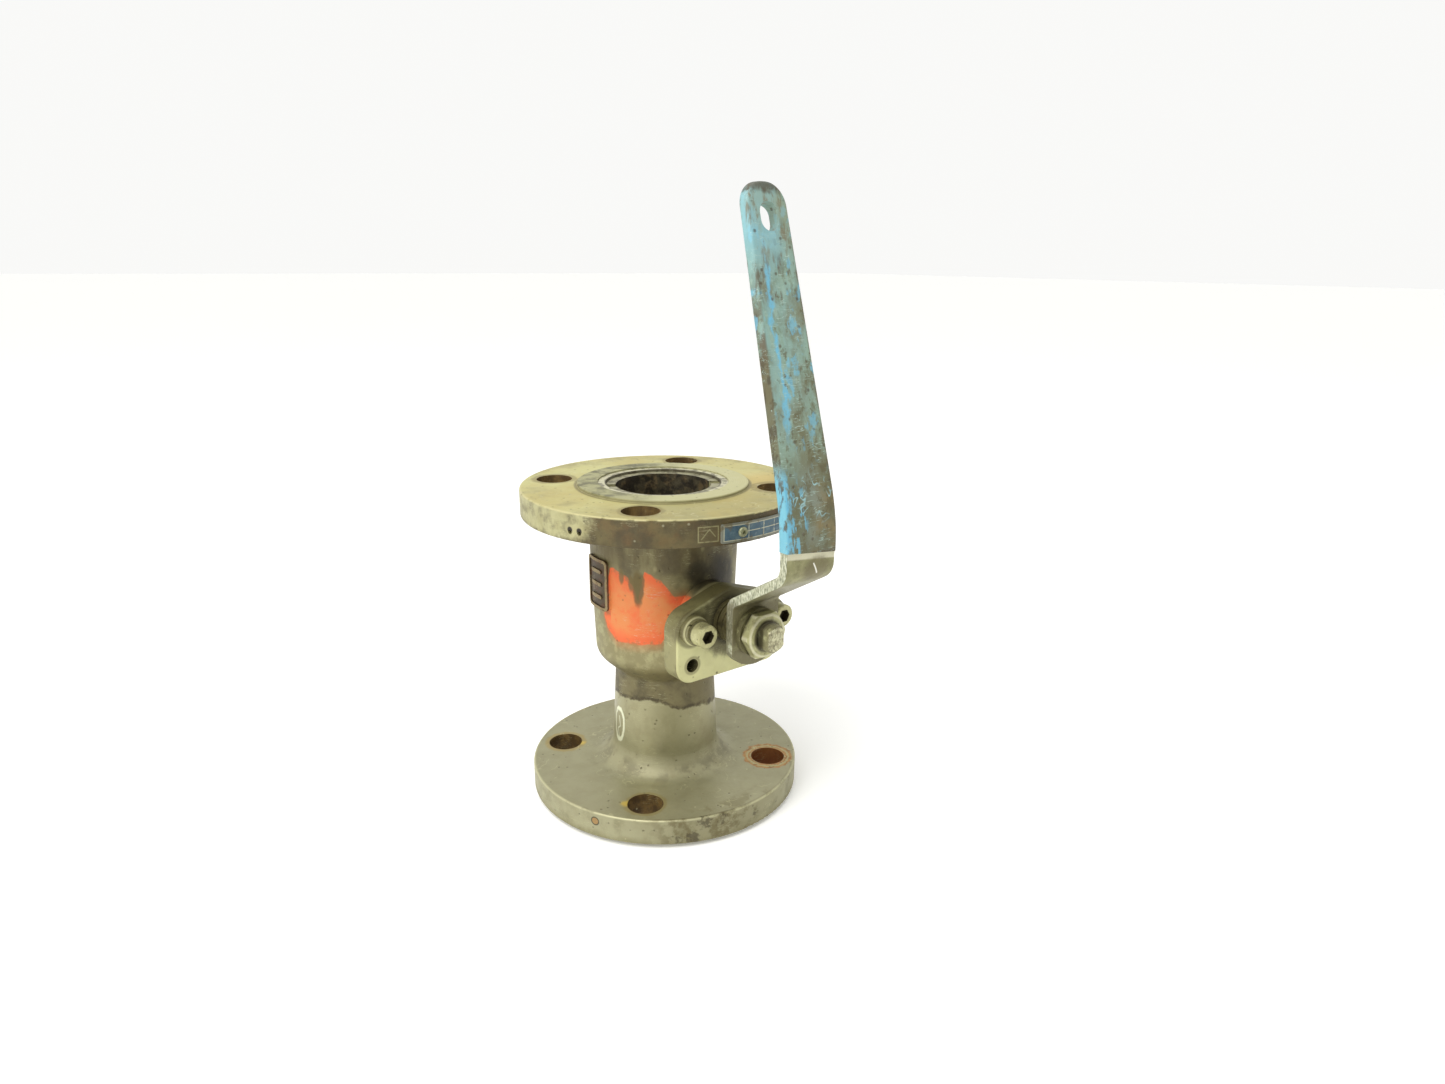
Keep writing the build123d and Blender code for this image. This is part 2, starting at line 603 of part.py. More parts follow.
# ---- stop screws ------------------------------------------------------------------------
def stop_screw(side):
    """Socket-head cap screw; side is -1 for the left one and +1 for the right one."""
    head_start = SCREW_BOSS_FACE + SCREW_WASHER_THICKNESS
    head_end = head_start + SCREW_HEAD_HEIGHT
    head = tube(SCREW_HEAD_RADIUS, 0, head_start, head_end)
    head = chamfer(head.faces().sort_by(Axis.Z)[-1].edges(), 0.6)
    shank = tube(SCREW_SHANK_RADIUS, 0, SCREW_SHANK_END, head_start)
    socket_corner = SCREW_SOCKET_WIDTH / 2 / cos(radians(30))
    socket = Pos(0, 0, head_end - SCREW_SOCKET_DEPTH) * extrude(
        RegularPolygon(socket_corner, 6), SCREW_SOCKET_DEPTH + 1)
    return on_stem(Pos(side * STOP_SCREW_OFFSET, 0, 0) * (head + shank - socket))


def stop_screw_washer(side):
    ring = tube(SCREW_WASHER_RADIUS, SCREW_SHANK_RADIUS + 0.2, SCREW_BOSS_FACE,
                SCREW_BOSS_FACE + SCREW_WASHER_THICKNESS)
    split = Pos(SCREW_WASHER_RADIUS * 0.8, 0, SCREW_BOSS_FACE) * Rot(30, 0, 0) * Box(
        SCREW_WASHER_RADIUS, 0.9, 12)
    return on_stem(Pos(side * STOP_SCREW_OFFSET, 0, 0) * (ring - Rot(0, 0, 140) * split))


# ---- nameplate --------------------------------------------------------------------------
def nameplate():
    """Curved tag that hugs the upper flange rim."""
    shell = tube(FLANGE_RADIUS + NAMEPLATE_THICKNESS, FLANGE_RADIUS, NAMEPLATE_BOTTOM_Z,
                 NAMEPLATE_TOP_Z)
    middle = (NAMEPLATE_START + NAMEPLATE_END) / 2
    half_width = FLANGE_RADIUS * sin(radians((NAMEPLATE_END - NAMEPLATE_START) / 2))
    window = RectangleRounded(2 * half_width, NAMEPLATE_TOP_Z - NAMEPLATE_BOTTOM_Z, 1.0)
    window_z = (NAMEPLATE_TOP_Z + NAMEPLATE_BOTTOM_Z) / 2
    plate = shell & on_rim(extrude(window, 2 * FLANGE_RADIUS), middle, window_z)
    for angle in DRIVE_SCREW_ANGLES:
        hole = tube(DRIVE_SCREW_SHANK_RADIUS + KEY_GAP, 0, 0, 2 * FLANGE_RADIUS)
        plate -= on_rim(hole, angle, DRIVE_SCREW_Z)
    return plate


def drive_screw(angle):
    """Round-head drive screw with a dimple in its head."""
    seat = FLANGE_RADIUS + NAMEPLATE_THICKNESS
    head = tube(DRIVE_SCREW_HEAD_RADIUS, 0, seat, seat + DRIVE_SCREW_HEAD_HEIGHT)
    head = fillet(head.faces().sort_by(Axis.Z)[-1].edges(), 0.9)
    head -= tube(DRIVE_SCREW_DIMPLE, 0, seat + 0.4, seat + 2 * DRIVE_SCREW_HEAD_HEIGHT)
    shank = tube(DRIVE_SCREW_SHANK_RADIUS, 0, FLANGE_RADIUS - DRIVE_SCREW_LENGTH + 0.5, seat)
    return on_rim(head + shank, angle, DRIVE_SCREW_Z)


def write(name, shape):
    export_step(shape, f"parts/{name}.step")


os.makedirs("parts", exist_ok=True)

write("valve_body", valve_body())
write("body_insert", body_insert())
write("insert_seal", insert_seal())
write("seat_ring_lower", seat_ring(-1))
write("seat_ring_upper", seat_ring(1))
write("ball", ball())
write("stem", stem())
write("stem_thrust_washer", thrust_washer())
for index, place in enumerate(("inner", "middle", "outer")):
    write(f"packing_ring_{place}", packing_ring(index))
write("compression_ring", compression_ring())
for index, place in enumerate(("inner", "outer")):
    write(f"disc_spring_{place}", disc_spring(index))
write("stop_plate", stop_plate())
write("lever", lever())
write("lever_grip", lever_grip())
write("lever_lock_washer", lever_lock_washer())
write("stem_nut", stem_nut())
for side, place in ((-1, "left"), (1, "right")):
    write(f"stop_screw_{place}", stop_screw(side))
    write(f"stop_screw_washer_{place}", stop_screw_washer(side))
write("nameplate", nameplate())
write("nameplate_drive_screws", Compound([drive_screw(angle) for angle in DRIVE_SCREW_ANGLES]))
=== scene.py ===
import bpy
import json
import math
from mathutils import Matrix, Vector


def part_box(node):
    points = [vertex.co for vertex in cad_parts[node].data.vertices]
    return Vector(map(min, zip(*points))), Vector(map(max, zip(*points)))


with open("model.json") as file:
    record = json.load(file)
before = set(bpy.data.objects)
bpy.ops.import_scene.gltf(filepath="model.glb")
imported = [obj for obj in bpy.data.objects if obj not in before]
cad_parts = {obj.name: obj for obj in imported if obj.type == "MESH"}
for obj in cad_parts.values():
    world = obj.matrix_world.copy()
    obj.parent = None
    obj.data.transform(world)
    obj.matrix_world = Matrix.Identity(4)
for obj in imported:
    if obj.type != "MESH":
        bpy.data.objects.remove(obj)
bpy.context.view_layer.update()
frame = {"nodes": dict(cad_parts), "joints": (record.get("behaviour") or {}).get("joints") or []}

# ---- sizes, in millimetres for the materials ----------------------------------------------
MM = 1000.0
FLANGE_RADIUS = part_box("valve_body")[1].x * MM
STEM_Z = frame["joints"][0]["pos_m"][2] * MM
BOLT_CIRCLE_RADIUS = 60.325
BOLT_CENTRE = BOLT_CIRCLE_RADIUS * math.sqrt(0.5)
BOLT_HOLE = 9.525
SCREW_X = 24.6
GRIP_LOW, GRIP_HIGH = [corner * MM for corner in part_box("lever_grip")]


# ---- camera and light ---------------------------------------------------------------------
def make_camera():
    """Camera left of and above the stem side, rolled a little."""
    place = Vector((-0.2850, -0.4134, 0.2921))
    azimuth, pitch, roll = math.radians(-38.21), math.radians(17.84), math.radians(0.65)
    back = Vector((math.sin(azimuth) * math.cos(pitch),
                   -math.cos(azimuth) * math.cos(pitch),
                   math.sin(pitch)))
    right = Vector((0, 0, 1)).cross(back).normalized()
    up = back.cross(right)
    rolled_right = right * math.cos(roll) + up * math.sin(roll)
    rolled_up = up * math.cos(roll) - right * math.sin(roll)
    data = bpy.data.cameras.new("camera")
    data.sensor_width = 36.0
    data.lens = 23.705
    data.shift_x = 0.0008
    data.shift_y = 0.0151
    data.clip_start = 0.01
    camera = bpy.data.objects.new("camera", data)
    camera.matrix_world = Matrix((
        (rolled_right.x, rolled_up.x, back.x, place.x),
        (rolled_right.y, rolled_up.y, back.y, place.y),
        (rolled_right.z, rolled_up.z, back.z, place.z),
        (0, 0, 0, 1)))
    bpy.context.scene.collection.objects.link(camera)
    bpy.context.scene.camera = camera


def soft_light(name, place, aim, size, power):
    """A square area light that points at a place."""
    data = bpy.data.lights.new(name, "AREA")
    data.shape = "SQUARE"
    data.size = size
    data.energy = power
    lamp = bpy.data.objects.new(name, data)
    lamp.location = place
    lamp.rotation_euler = (Vector(aim) - Vector(place)).to_track_quat("-Z", "Y").to_euler()
    bpy.context.scene.collection.objects.link(lamp)


def light_tent(tree):
    """White all round, with a dimmer opening on the side that the valve is seen from."""
    background = tree.nodes["Background"]
    background.inputs["Strength"].default_value = 0.95
    coordinates = tree.nodes.new("ShaderNodeTexCoord")
    facing = tree.nodes.new("ShaderNodeVectorMath")
    facing.operation = "DOT_PRODUCT"
    facing.inputs[1].default_value = Vector((-0.45, -0.87, -0.05)).normalized()
    tree.links.new(coordinates.outputs["Generated"], facing.inputs[0])
    ramp = tree.nodes.new("ShaderNodeValToRGB")
    ramp.color_ramp.interpolation = "EASE"
    ramp.color_ramp.elements[0].position = 0.15
    ramp.color_ramp.elements[0].color = (1.0, 1.0, 0.985, 1)
    ramp.color_ramp.elements[1].position = 0.95
    ramp.color_ramp.elements[1].color = (0.34, 0.34, 0.32, 1)
    tree.links.new(facing.outputs["Value"], ramp.inputs[0])
    tree.links.new(ramp.outputs[0], background.inputs["Color"])


make_camera()
soft_light("key", (-0.9, -0.3, 1.5), (0, 0, 0.1), 1.0, 17)
soft_light("side", (-1.3, -0.5, 0.5), (0, 0, 0.15), 0.8, 3)
world = bpy.data.worlds.new("studio")
world.use_nodes = True
bpy.context.scene.world = world
light_tent(world.node_tree)
bpy.context.scene.view_settings.view_transform = "Standard"


# ---- material tools -----------------------------------------------------------------------
def tone(red, green, blue):
    """A display colour, 0 to 255 a channel, as the linear colour a shader takes."""
    linear = []
    for channel in (red, green, blue):
        share = channel / 255
        linear.append(share / 12.92 if share <= 0.04045 else ((share + 0.055) / 1.055) ** 2.4)
    return (*linear, 1.0)


def arc(angle, radius):
    """Millimetres round a circle for this many degrees."""
    return angle * math.radians(radius)


class Value:
    """A number worked out in a material, with ordinary arithmetic."""

    def __init__(self, shade, socket):
        self.shade = shade
        self.socket = socket

    def __add__(self, other):
        return self.shade.math("ADD", self, other)

    __radd__ = __add__

    def __sub__(self, other):
        return self.shade.math("SUBTRACT", self, other)

    def __rsub__(self, other):
        return self.shade.math("SUBTRACT", other, self)

    def __mul__(self, other):
        return self.shade.math("MULTIPLY", self, other)

    __rmul__ = __mul__

    def __truediv__(self, other):
        return self.shade.math("DIVIDE", self, other)

    def __abs__(self):
        return self.shade.math("ABSOLUTE", self, 0.0)

    def above(self, level, soft):
        """0 below the level and 1 above it, turning over twice the soft distance."""
        return self.shade.smooth(self - level, -soft, soft)

    def below(self, level, soft):
        return 1 - self.above(level, soft)

    def near(self, level, half, soft):
        """1 within half of the level and 0 beyond it."""
        return abs(self - level).below(half, soft)


class Shade:
    """One material, painted in layers. Places are in millimetres in the object's own frame."""

    def __init__(self, name, color, rough, metal=0.0):
        self.material = bpy.data.materials.new(name)
        self.material.use_nodes = True
        self.tree = self.material.node_tree
        self.tree.nodes.clear()
        self.surface = self.tree.nodes.new("ShaderNodeBsdfPrincipled")
        output = self.tree.nodes.new("ShaderNodeOutputMaterial")
        self.tree.links.new(self.surface.outputs[0], output.inputs["Surface"])
        coordinates = self.tree.nodes.new("ShaderNodeTexCoord")
        self.point = self.vector("MULTIPLY", coordinates.outputs["Object"], (MM, MM, MM))
        self.x, self.y, self.z = self.split(self.point)
        self.nx, self.ny, self.nz = self.split(coordinates.outputs["Normal"])
        self.color = color
        self.rough = rough
        self.metal = metal
        self.height = 0.0

    def put(self, socket, value):
        """Link a value to a socket, or set it there."""
        if isinstance(value, Value):
            value = value.socket
        if isinstance(value, bpy.types.NodeSocket):
            self.tree.links.new(value, socket)
        else:
            socket.default_value = value

    def math(self, operation, first, second=0.0):
        node = self.tree.nodes.new("ShaderNodeMath")
        node.operation = operation
        self.put(node.inputs[0], first)
        self.put(node.inputs[1], second)
        return Value(self, node.outputs[0])

    def larger(self, first, second):
        return self.math("MAXIMUM", first, second)

    def smaller(self, first, second):
        return self.math("MINIMUM", first, second)

    def vector(self, operation, first, second, third=None):
        node = self.tree.nodes.new("ShaderNodeVectorMath")
        node.operation = operation
        self.put(node.inputs[0], first)
        self.put(node.inputs[1], second)
        if third is not None:
            self.put(node.inputs[2], third)
        return node.outputs[0]

    def split(self, socket):
        node = self.tree.nodes.new("ShaderNodeSeparateXYZ")
        self.put(node.inputs[0], socket)
        return [Value(self, output) for output in node.outputs]

    def smooth(self, value, low, high):
        node = self.tree.nodes.new("ShaderNodeMapRange")
        node.interpolation_type = "SMOOTHSTEP"
        self.put(node.inputs["Value"], value)
        self.put(node.inputs["From Min"], low)
        self.put(node.inputs["From Max"], high)
        return Value(self, node.outputs[0])

    def curve(self, value, places):
        """A broken line through (input, output) places, level beyond its ends."""
        lowest, highest = places[0][0], places[-1][0]
        outputs = [output for _, output in places]
        floor, span = min(outputs), max(max(outputs) - min(outputs), 0.001)
        node = self.tree.nodes.new("ShaderNodeFloatCurve")
        line = node.mapping.curves[0]
        while len(line.points) < len(places):
            line.points.new(0.5, 0.5)
        for point, (across, up) in zip(line.points, places):
            point.location = ((across - lowest) / (highest - lowest), (up - floor) / span)
            point.handle_type = "VECTOR"
        node.mapping.update()
        share = self.tree.nodes.new("ShaderNodeClamp")
        self.put(share.inputs[0], (value - lowest) / (highest - lowest))
        self.put(node.inputs["Value"], share.outputs[0])
        return Value(self, node.outputs[0]) * span + floor

    def noise(self, size, seed=0.0, stretch=(1, 1, 1), detail=8.0, rough=0.62):
        """Cloudy noise about 0.5, with clouds of this size, drawn out along a stretched axis."""
        node = self.tree.nodes.new("ShaderNodeTexNoise")
        scale = tuple(1 / (size * each) for each in stretch)
        shift = (seed * 7.3, seed * 3.1, seed * 5.7)
        self.put(node.inputs["Vector"], self.vector("MULTIPLY_ADD", self.point, scale, shift))
        node.inputs["Scale"].default_value = 1.0
        node.inputs["Detail"].default_value = detail
        node.inputs["Roughness"].default_value = rough
        return Value(self, node.outputs[0])

    def patches(self, size, seed, level=0.5, soft=0.1, **shape):
        """1 in clouds where the noise is above a level."""
        return self.noise(size, seed, **shape).above(level, soft)

    def spots(self, spacing, radius, share, seed=0.0, stretch=(1, 1, 1)):
        """Small round spots, kept in a share of the cells."""
        scale = tuple(1 / (spacing * each) for each in stretch)
        shift = (seed * 7.3, seed * 3.1, seed * 5.7)
        node = self.tree.nodes.new("ShaderNodeTexVoronoi")
        node.inputs["Scale"].default_value = 1.0
        self.put(node.inputs["Vector"], self.vector("MULTIPLY_ADD", self.point, scale, shift))
        distance = Value(self, node.outputs["Distance"]) * spacing
        chance = self.split(node.outputs["Color"])[0]
        return distance.below(radius, radius * 0.45) * chance.below(share, 0.03)

    def turn(self):
        """Degrees round the pipe from the stem side, growing towards +X."""
        return self.math("ARCTAN2", self.x, self.y * -1) * math.degrees(1)

    def distance(self, first, second, place, stretch=1.0):
        """Distance in a plane from a place, with the second direction drawn out."""
        across = first - place[0]
        up = (second - place[1]) / stretch
        return self.math("SQRT", across * across + up * up)

    def stroke(self, first, second, start, end, half, soft):
        """A straight pen line between two places in a plane."""
        run = (end[0] - start[0], end[1] - start[1])
        length = math.hypot(*run)
        along_x, along_y = run[0] / length, run[1] / length
        along = (first - start[0]) * along_x + (second - start[1]) * along_y
        aside = (first - start[0]) * along_y - (second - start[1]) * along_x
        return aside.near(0, half, soft) * along.near(length / 2, length / 2, soft)

    def paint(self, color, mask):
        """Lay a colour over what is there, where the mask is 1."""
        node = self.tree.nodes.new("ShaderNodeMix")
        node.data_type = "RGBA"
        node.clamp_factor = True
        self.put(node.inputs["Factor"], mask)
        self.put(node.inputs["A"], self.color)
        self.put(node.inputs["B"], color)
        self.color = node.outputs["Result"]

    def stain(self, tint, mask=1.0):
        """Multiply the colour by a tint where the mask is 1."""
        node = self.tree.nodes.new("ShaderNodeMix")
        node.data_type = "RGBA"
        node.blend_type = "MULTIPLY"
        self.put(node.inputs["Factor"], mask)
        self.put(node.inputs["A"], self.color)
        self.put(node.inputs["B"], (*tint, 1.0))
        self.color = node.outputs["Result"]

    def polish(self, rough, mask, metal=None):
        """Change the roughness, and the metal if given, where the mask is 1."""
        self.rough = self.blend(self.rough, rough, mask)
        if metal is not None:
            self.metal = self.blend(self.metal, metal, mask)

    def blend(self, first, second, mask):
        """The first number where the mask is 0 and the second where it is 1."""
        node = self.tree.nodes.new("ShaderNodeMix")
        self.put(node.inputs["Factor"], mask)
        self.put(node.inputs["A"], first)
        self.put(node.inputs["B"], second)
        return Value(self, node.outputs["Result"])

    def raised(self, height):
        """Add to the height, in millimetres."""
        self.height = height + self.height

    def finish(self):
        """Connect the layers to the surface."""
        self.put(self.surface.inputs["Base Color"], self.color)
        self.put(self.surface.inputs["Roughness"], self.rough)
        self.put(self.surface.inputs["Metallic"], self.metal)
        bump = self.tree.nodes.new("ShaderNodeBump")
        bump.inputs["Distance"].default_value = 1 / MM
        self.put(bump.inputs["Height"], self.height)
        self.put(self.surface.inputs["Normal"], bump.outputs[0])
        return self.material


def dress(material, *nodes):
    """Put a material on CAD nodes through their objects' own slots."""
    for name in nodes:
        piece = frame["nodes"][name]
        if not piece.material_slots:
            piece.data.materials.append(None)
        for place in piece.material_slots:
            place.link = "OBJECT"
            place.material = material


# ---- cast body ----------------------------------------------------------------------------
CAST = tone(158, 150, 122)
CAST_LIGHT = tone(190, 184, 152)
CAST_DARK = tone(92, 83, 60)
# The next two colours are grime and soot, and also serve as painted shade in creases, holes and under the
# upper flange.
GRIME_AND_SHADE = tone(66, 56, 38)
SOOT_AND_SHADE = tone(40, 33, 23)
TAN = tone(206, 200, 152)
SATIN = tone(164, 159, 140)
ORANGE = tone(228, 102, 52)
CHALK = tone(226, 222, 204)
OLIVE_CAST = (0.93, 0.95, 0.76)

NECK_RADIUS = 29
BRACKET_HOLE_X = 24.5
BRACKET_HOLE_DROP = 19.5
BRACKET_HOLE_RADIUS = 3.62
TAG_PLACE_ANGLE = -18.6
TAG_PLACE_Z = 168.3
OLD_HOLE_ANGLES = (-70.5, -66.3)
OLD_HOLE_Z = 167.8


class CastShade(Shade):
    """The casting's shade, with the places and regions that its layers share."""

    def __init__(self):
        super().__init__("cast_body", CAST, 0.55, 0.25)
        self.radius = self.distance(self.x, self.y, (0, 0))
        self.angle = self.turn()
        self.cloud = self.noise(26, 1)
        self.fine = self.noise(5, 2, detail=6)
        self.lower = self.z.below(17.5, 1.0)
        self.chamber = self.zone(80, 161, 2) * self.radius.below(45, 2) * self.y.above(-45, 1)
        self.rim = self.z.above(160.5, 0.5) * self.radius.above(74.5, 0.5)
        self.top_face = self.nz.above(0.7, 0.15) * self.z.above(170, 1)

    def zone(self, low, high, soft=1.0):
        """1 between two heights."""
        return self.z.above(low, soft) * self.z.below(high, soft)


def bare_casting(s):
    """Light and dark clouds and a rough skin, all over."""
    s.paint(CAST_LIGHT, s.fine.above(0.56, 0.14) * 0.35)
    s.paint(CAST_DARK, s.cloud.above(0.58, 0.16) * 0.35)
    grit = s.noise(1.1, 3, detail=3)
    s.raised(s.noise(2.6, 5, detail=5) * 0.12 + grit * 0.05)


def neck(s):
    """Satin lower flange and neck, up to a wavy line of dirt, with a painted reflection darkening the
    middle of the neck and grime with painted shade at its root.
    """
    s.paint(SATIN, s.lower * 0.85)
    s.paint(tone(140, 133, 110), s.lower * s.patches(15, 6, 0.55, 0.16) * 0.5)
    dirt_level = s.curve(s.angle, [(-180, 54), (-116, 57), (-80, 58.5), (-55, 60.2), (-40, 60),
                                   (-19, 54.7), (2, 55), (45, 50.5), (180, 54)])
    dirt_level = dirt_level + (s.noise(5, 7) - 0.5) * 5
    clean_neck = s.z.above(16, 1) * (s.z - dirt_level).below(0, 0.7)
    s.paint(tone(166, 160, 140), clean_neck * 0.85)
    s.paint(tone(126, 116, 92), clean_neck * s.patches(11, 8, 0.56, 0.1) * 0.3)
    # Painted reflection: the middle of the clean neck, on the side it is seen from, darker.
    s.paint(tone(118, 112, 84), clean_neck * s.angle.near(-26, 22, 22) * s.z.above(24, 8) * 0.6)
    s.polish(0.38, clean_neck, 0.6)
    s.polish(0.52, s.z.near(22, 6, 4), 0.3)
    s.polish(0.42, s.lower * s.nz.above(0.5, 0.2), 0.5)
    dirty_neck = (s.z - dirt_level).above(0, 0.6) * s.z.below(84, 3)
    s.paint(tone(104, 92, 64), dirty_neck * 0.75)
    s.paint(SOOT_AND_SHADE, dirty_neck * s.patches(12, 38, 0.54, 0.12) * 0.5)
    s.paint(GRIME_AND_SHADE, (s.z - dirt_level).near(1.0, 1.1, 0.8) * s.patches(6, 9, 0.45, 0.08) * 0.8)
    # Grime and painted shade: darker patches round the neck root, in the shade of the chamber.
    s.paint(GRIME_AND_SHADE, s.zone(16.5, 22, 2.5) * s.radius.below(46, 5) * s.patches(14, 10, 0.5, 0.06) * 0.35)


def chamber_wall(s):
    """Olive dirt, with painted shade darkening it below the upper flange, and darker where the wall
    narrows.
    """
    streak = s.noise(9, 4, stretch=(1, 1, 5), detail=5)
    s.paint(tone(132, 122, 92), s.chamber * 0.7)
    s.paint(CAST_LIGHT, s.chamber * s.patches(7, 11, 0.56, 0.1) * s.zone(84, 110, 8) * 0.5)
    # Painted shade in streaks below the upper flange.
    s.paint(tone(88, 74, 48), s.chamber * s.zone(138, 170, 9) * streak.above(0.42, 0.16) * 0.8)
    s.paint(GRIME_AND_SHADE, s.chamber * s.zone(108, 150, 14) * s.patches(16, 12, 0.54, 0.12) * 0.6)
    # Painted shade: darkest just below the upper flange.
    s.paint(SOOT_AND_SHADE, s.chamber * s.zone(150, 163, 6) * s.patches(12, 13, 0.52, 0.12) * 0.55)
    s.paint(tone(176, 166, 132), s.chamber * s.spots(6, 1.3, 0.3, 2, (1, 1, 1.6)) * 0.5)
    for place, size in (((-9, 137), 5.5), ((8, 135), 7), ((20, 131), 8)):
        spread = s.distance(s.angle * 0.7, s.z, (place[0] * 0.7, place[1]), 1.6)
        s.paint(SOOT_AND_SHADE, s.chamber * (spread + (s.fine - 0.5) * 6).below(size, 3) * 0.8)


def orange_spray(s):
    """Orange paint, sprayed beside the foundry pad and below it. Returns where it lies."""
    ragged = (s.noise(6, 14) - 0.5) * 3.2
    top = s.curve(s.angle, [(-91, 108), (-88, 112), (-81, 113), (-79.5, 137), (-76, 138.5), (-62, 134),
                            (-58, 130), (-54.6, 122), (-52, 131), (-49, 138.6), (-37, 134),
                            (-27, 125), (-16.5, 126), (-13, 120)])
    bottom = s.curve(s.angle, [(-91, 112), (-88, 106), (-86, 103), (-76, 97), (-63, 97), (-37, 99),
                               (-28, 108), (-20, 119), (-13, 128)])
    inside = s.smaller(top - s.z, s.z - bottom) + ragged
    sprayed = inside.above(0, 0.6) * s.angle.near(-52, 39, 1) * s.chamber
    mist = inside.above(-2.5, 4) * s.angle.near(-52, 40, 2) * s.chamber * s.z.below(126, 12)
    s.paint(tone(196, 116, 66), mist * 0.5)
    s.paint(ORANGE, sprayed * 0.95)
    s.paint(tone(216, 138, 78), sprayed * inside.above(6, 5) * s.patches(18, 15, 0.40, 0.16) * 0.85)
    s.paint(tone(226, 92, 52), sprayed * s.patches(5, 16, 0.6, 0.08) * 0.45)
    worn = inside.below(2.0, 1.8) * s.noise(3.5, 17).above(0.54, 0.08)
    s.paint(tone(150, 108, 66), sprayed * worn * 0.75)
    s.paint(tone(120, 52, 28), sprayed * s.spots(9, 0.7, 0.3, 3) * 0.7)
    run_down = s.distance(s.angle * 0.7 + (s.fine - 0.5) * 3, s.z, (-54.5 * 0.7, 129), 3.2)
    s.paint(tone(104, 88, 50), s.chamber * run_down.below(3.0, 0.7) * 0.9)
    for place in ((-60, 131.5), (-51, 133), (-68, 134.5)):
        drip = s.distance(s.angle * 0.7 + (s.fine - 0.5) * 2.5, s.z, (place[0] * 0.7, place[1]), 2.6)
        s.paint(tone(112, 94, 56), s.chamber * drip.below(1.6, 0.5) * 0.85)
    s.polish(0.7, sprayed, 0.0)
    return sprayed


def foundry_pad(s):
    """Dark between its raised bars."""
    pad = s.radius.above(40.8, 0.2) * s.zone(112, 142, 0.5) * s.angle.near(-94, 15, 0.6)
    s.paint(tone(62, 44, 26), pad * 0.9)
    s.paint(tone(150, 130, 98), pad * s.radius.above(41.75, 0.12) * s.patches(3, 18, 0.4, 0.1) * 0.85)
    s.paint(tone(96, 52, 26), pad * s.patches(4, 19, 0.56, 0.06) * 0.5)


def stem_pad(s):
    """Pale machined face, darkened by dirt and painted shade towards the gland."""
    stem_distance = s.distance(s.x, s.z, (0, STEM_Z))
    front = s.y.below(-48, 0.6) * s.zone(82, 140, 1)
    s.paint(tone(214, 210, 172), front * 0.9)
    s.paint(tone(184, 178, 140), front * s.patches(16, 20, 0.54, 0.16) * 0.5)
    upper = (s.z + s.x * -0.55).above(STEM_Z + 15, 4) * front
    s.paint(tone(104, 98, 66), upper * s.patches(22, 21, 0.34, 0.14) * 0.85)
    # Dirt and painted shade: darker round the stem, in the crevice under the gland parts.
    gland = (stem_distance + (s.fine - 0.5) * 9).below(19.5, 3) * front
    s.paint(tone(84, 76, 52), gland * 0.85)
    s.paint(SOOT_AND_SHADE, stem_distance.below(13, 2) * front * 0.8)
    pad_side = front * abs(s.ny).below(0.6, 0.2)
    s.paint(tone(128, 121, 88), pad_side * 0.8)
    s.paint(CAST_DARK, pad_side * s.patches(9, 22, 0.56, 0.1) * 0.5)
    s.paint(tone(84, 77, 55), front * s.spots(7, 0.7, 0.4, 5) * 0.8)
    for side in (-1, 1):
        boss = s.distance(s.x, s.z, (side * SCREW_X, STEM_Z))
        s.paint(tone(92, 84, 58), boss.near(8.6, 1.2, 0.9) * s.y.below(-58, 0.5) * 0.65)
        s.paint(tone(204, 198, 168), boss.near(7.0, 0.6, 0.4) * s.y.below(-62.5, 0.3) * 0.6)
        hole = s.distance(s.x, s.z, (side * BRACKET_HOLE_X, STEM_Z - BRACKET_HOLE_DROP))
        # Painted shade inside each bracket hole.
        s.paint(SOOT_AND_SHADE, hole.below(BRACKET_HOLE_RADIUS, 0.1) * s.y.above(-59.6, 0.2) * front)
        s.paint(tone(112, 102, 74), hole.near(4.3, 0.7, 0.5) * s.y.below(-58, 0.5) * 0.6)


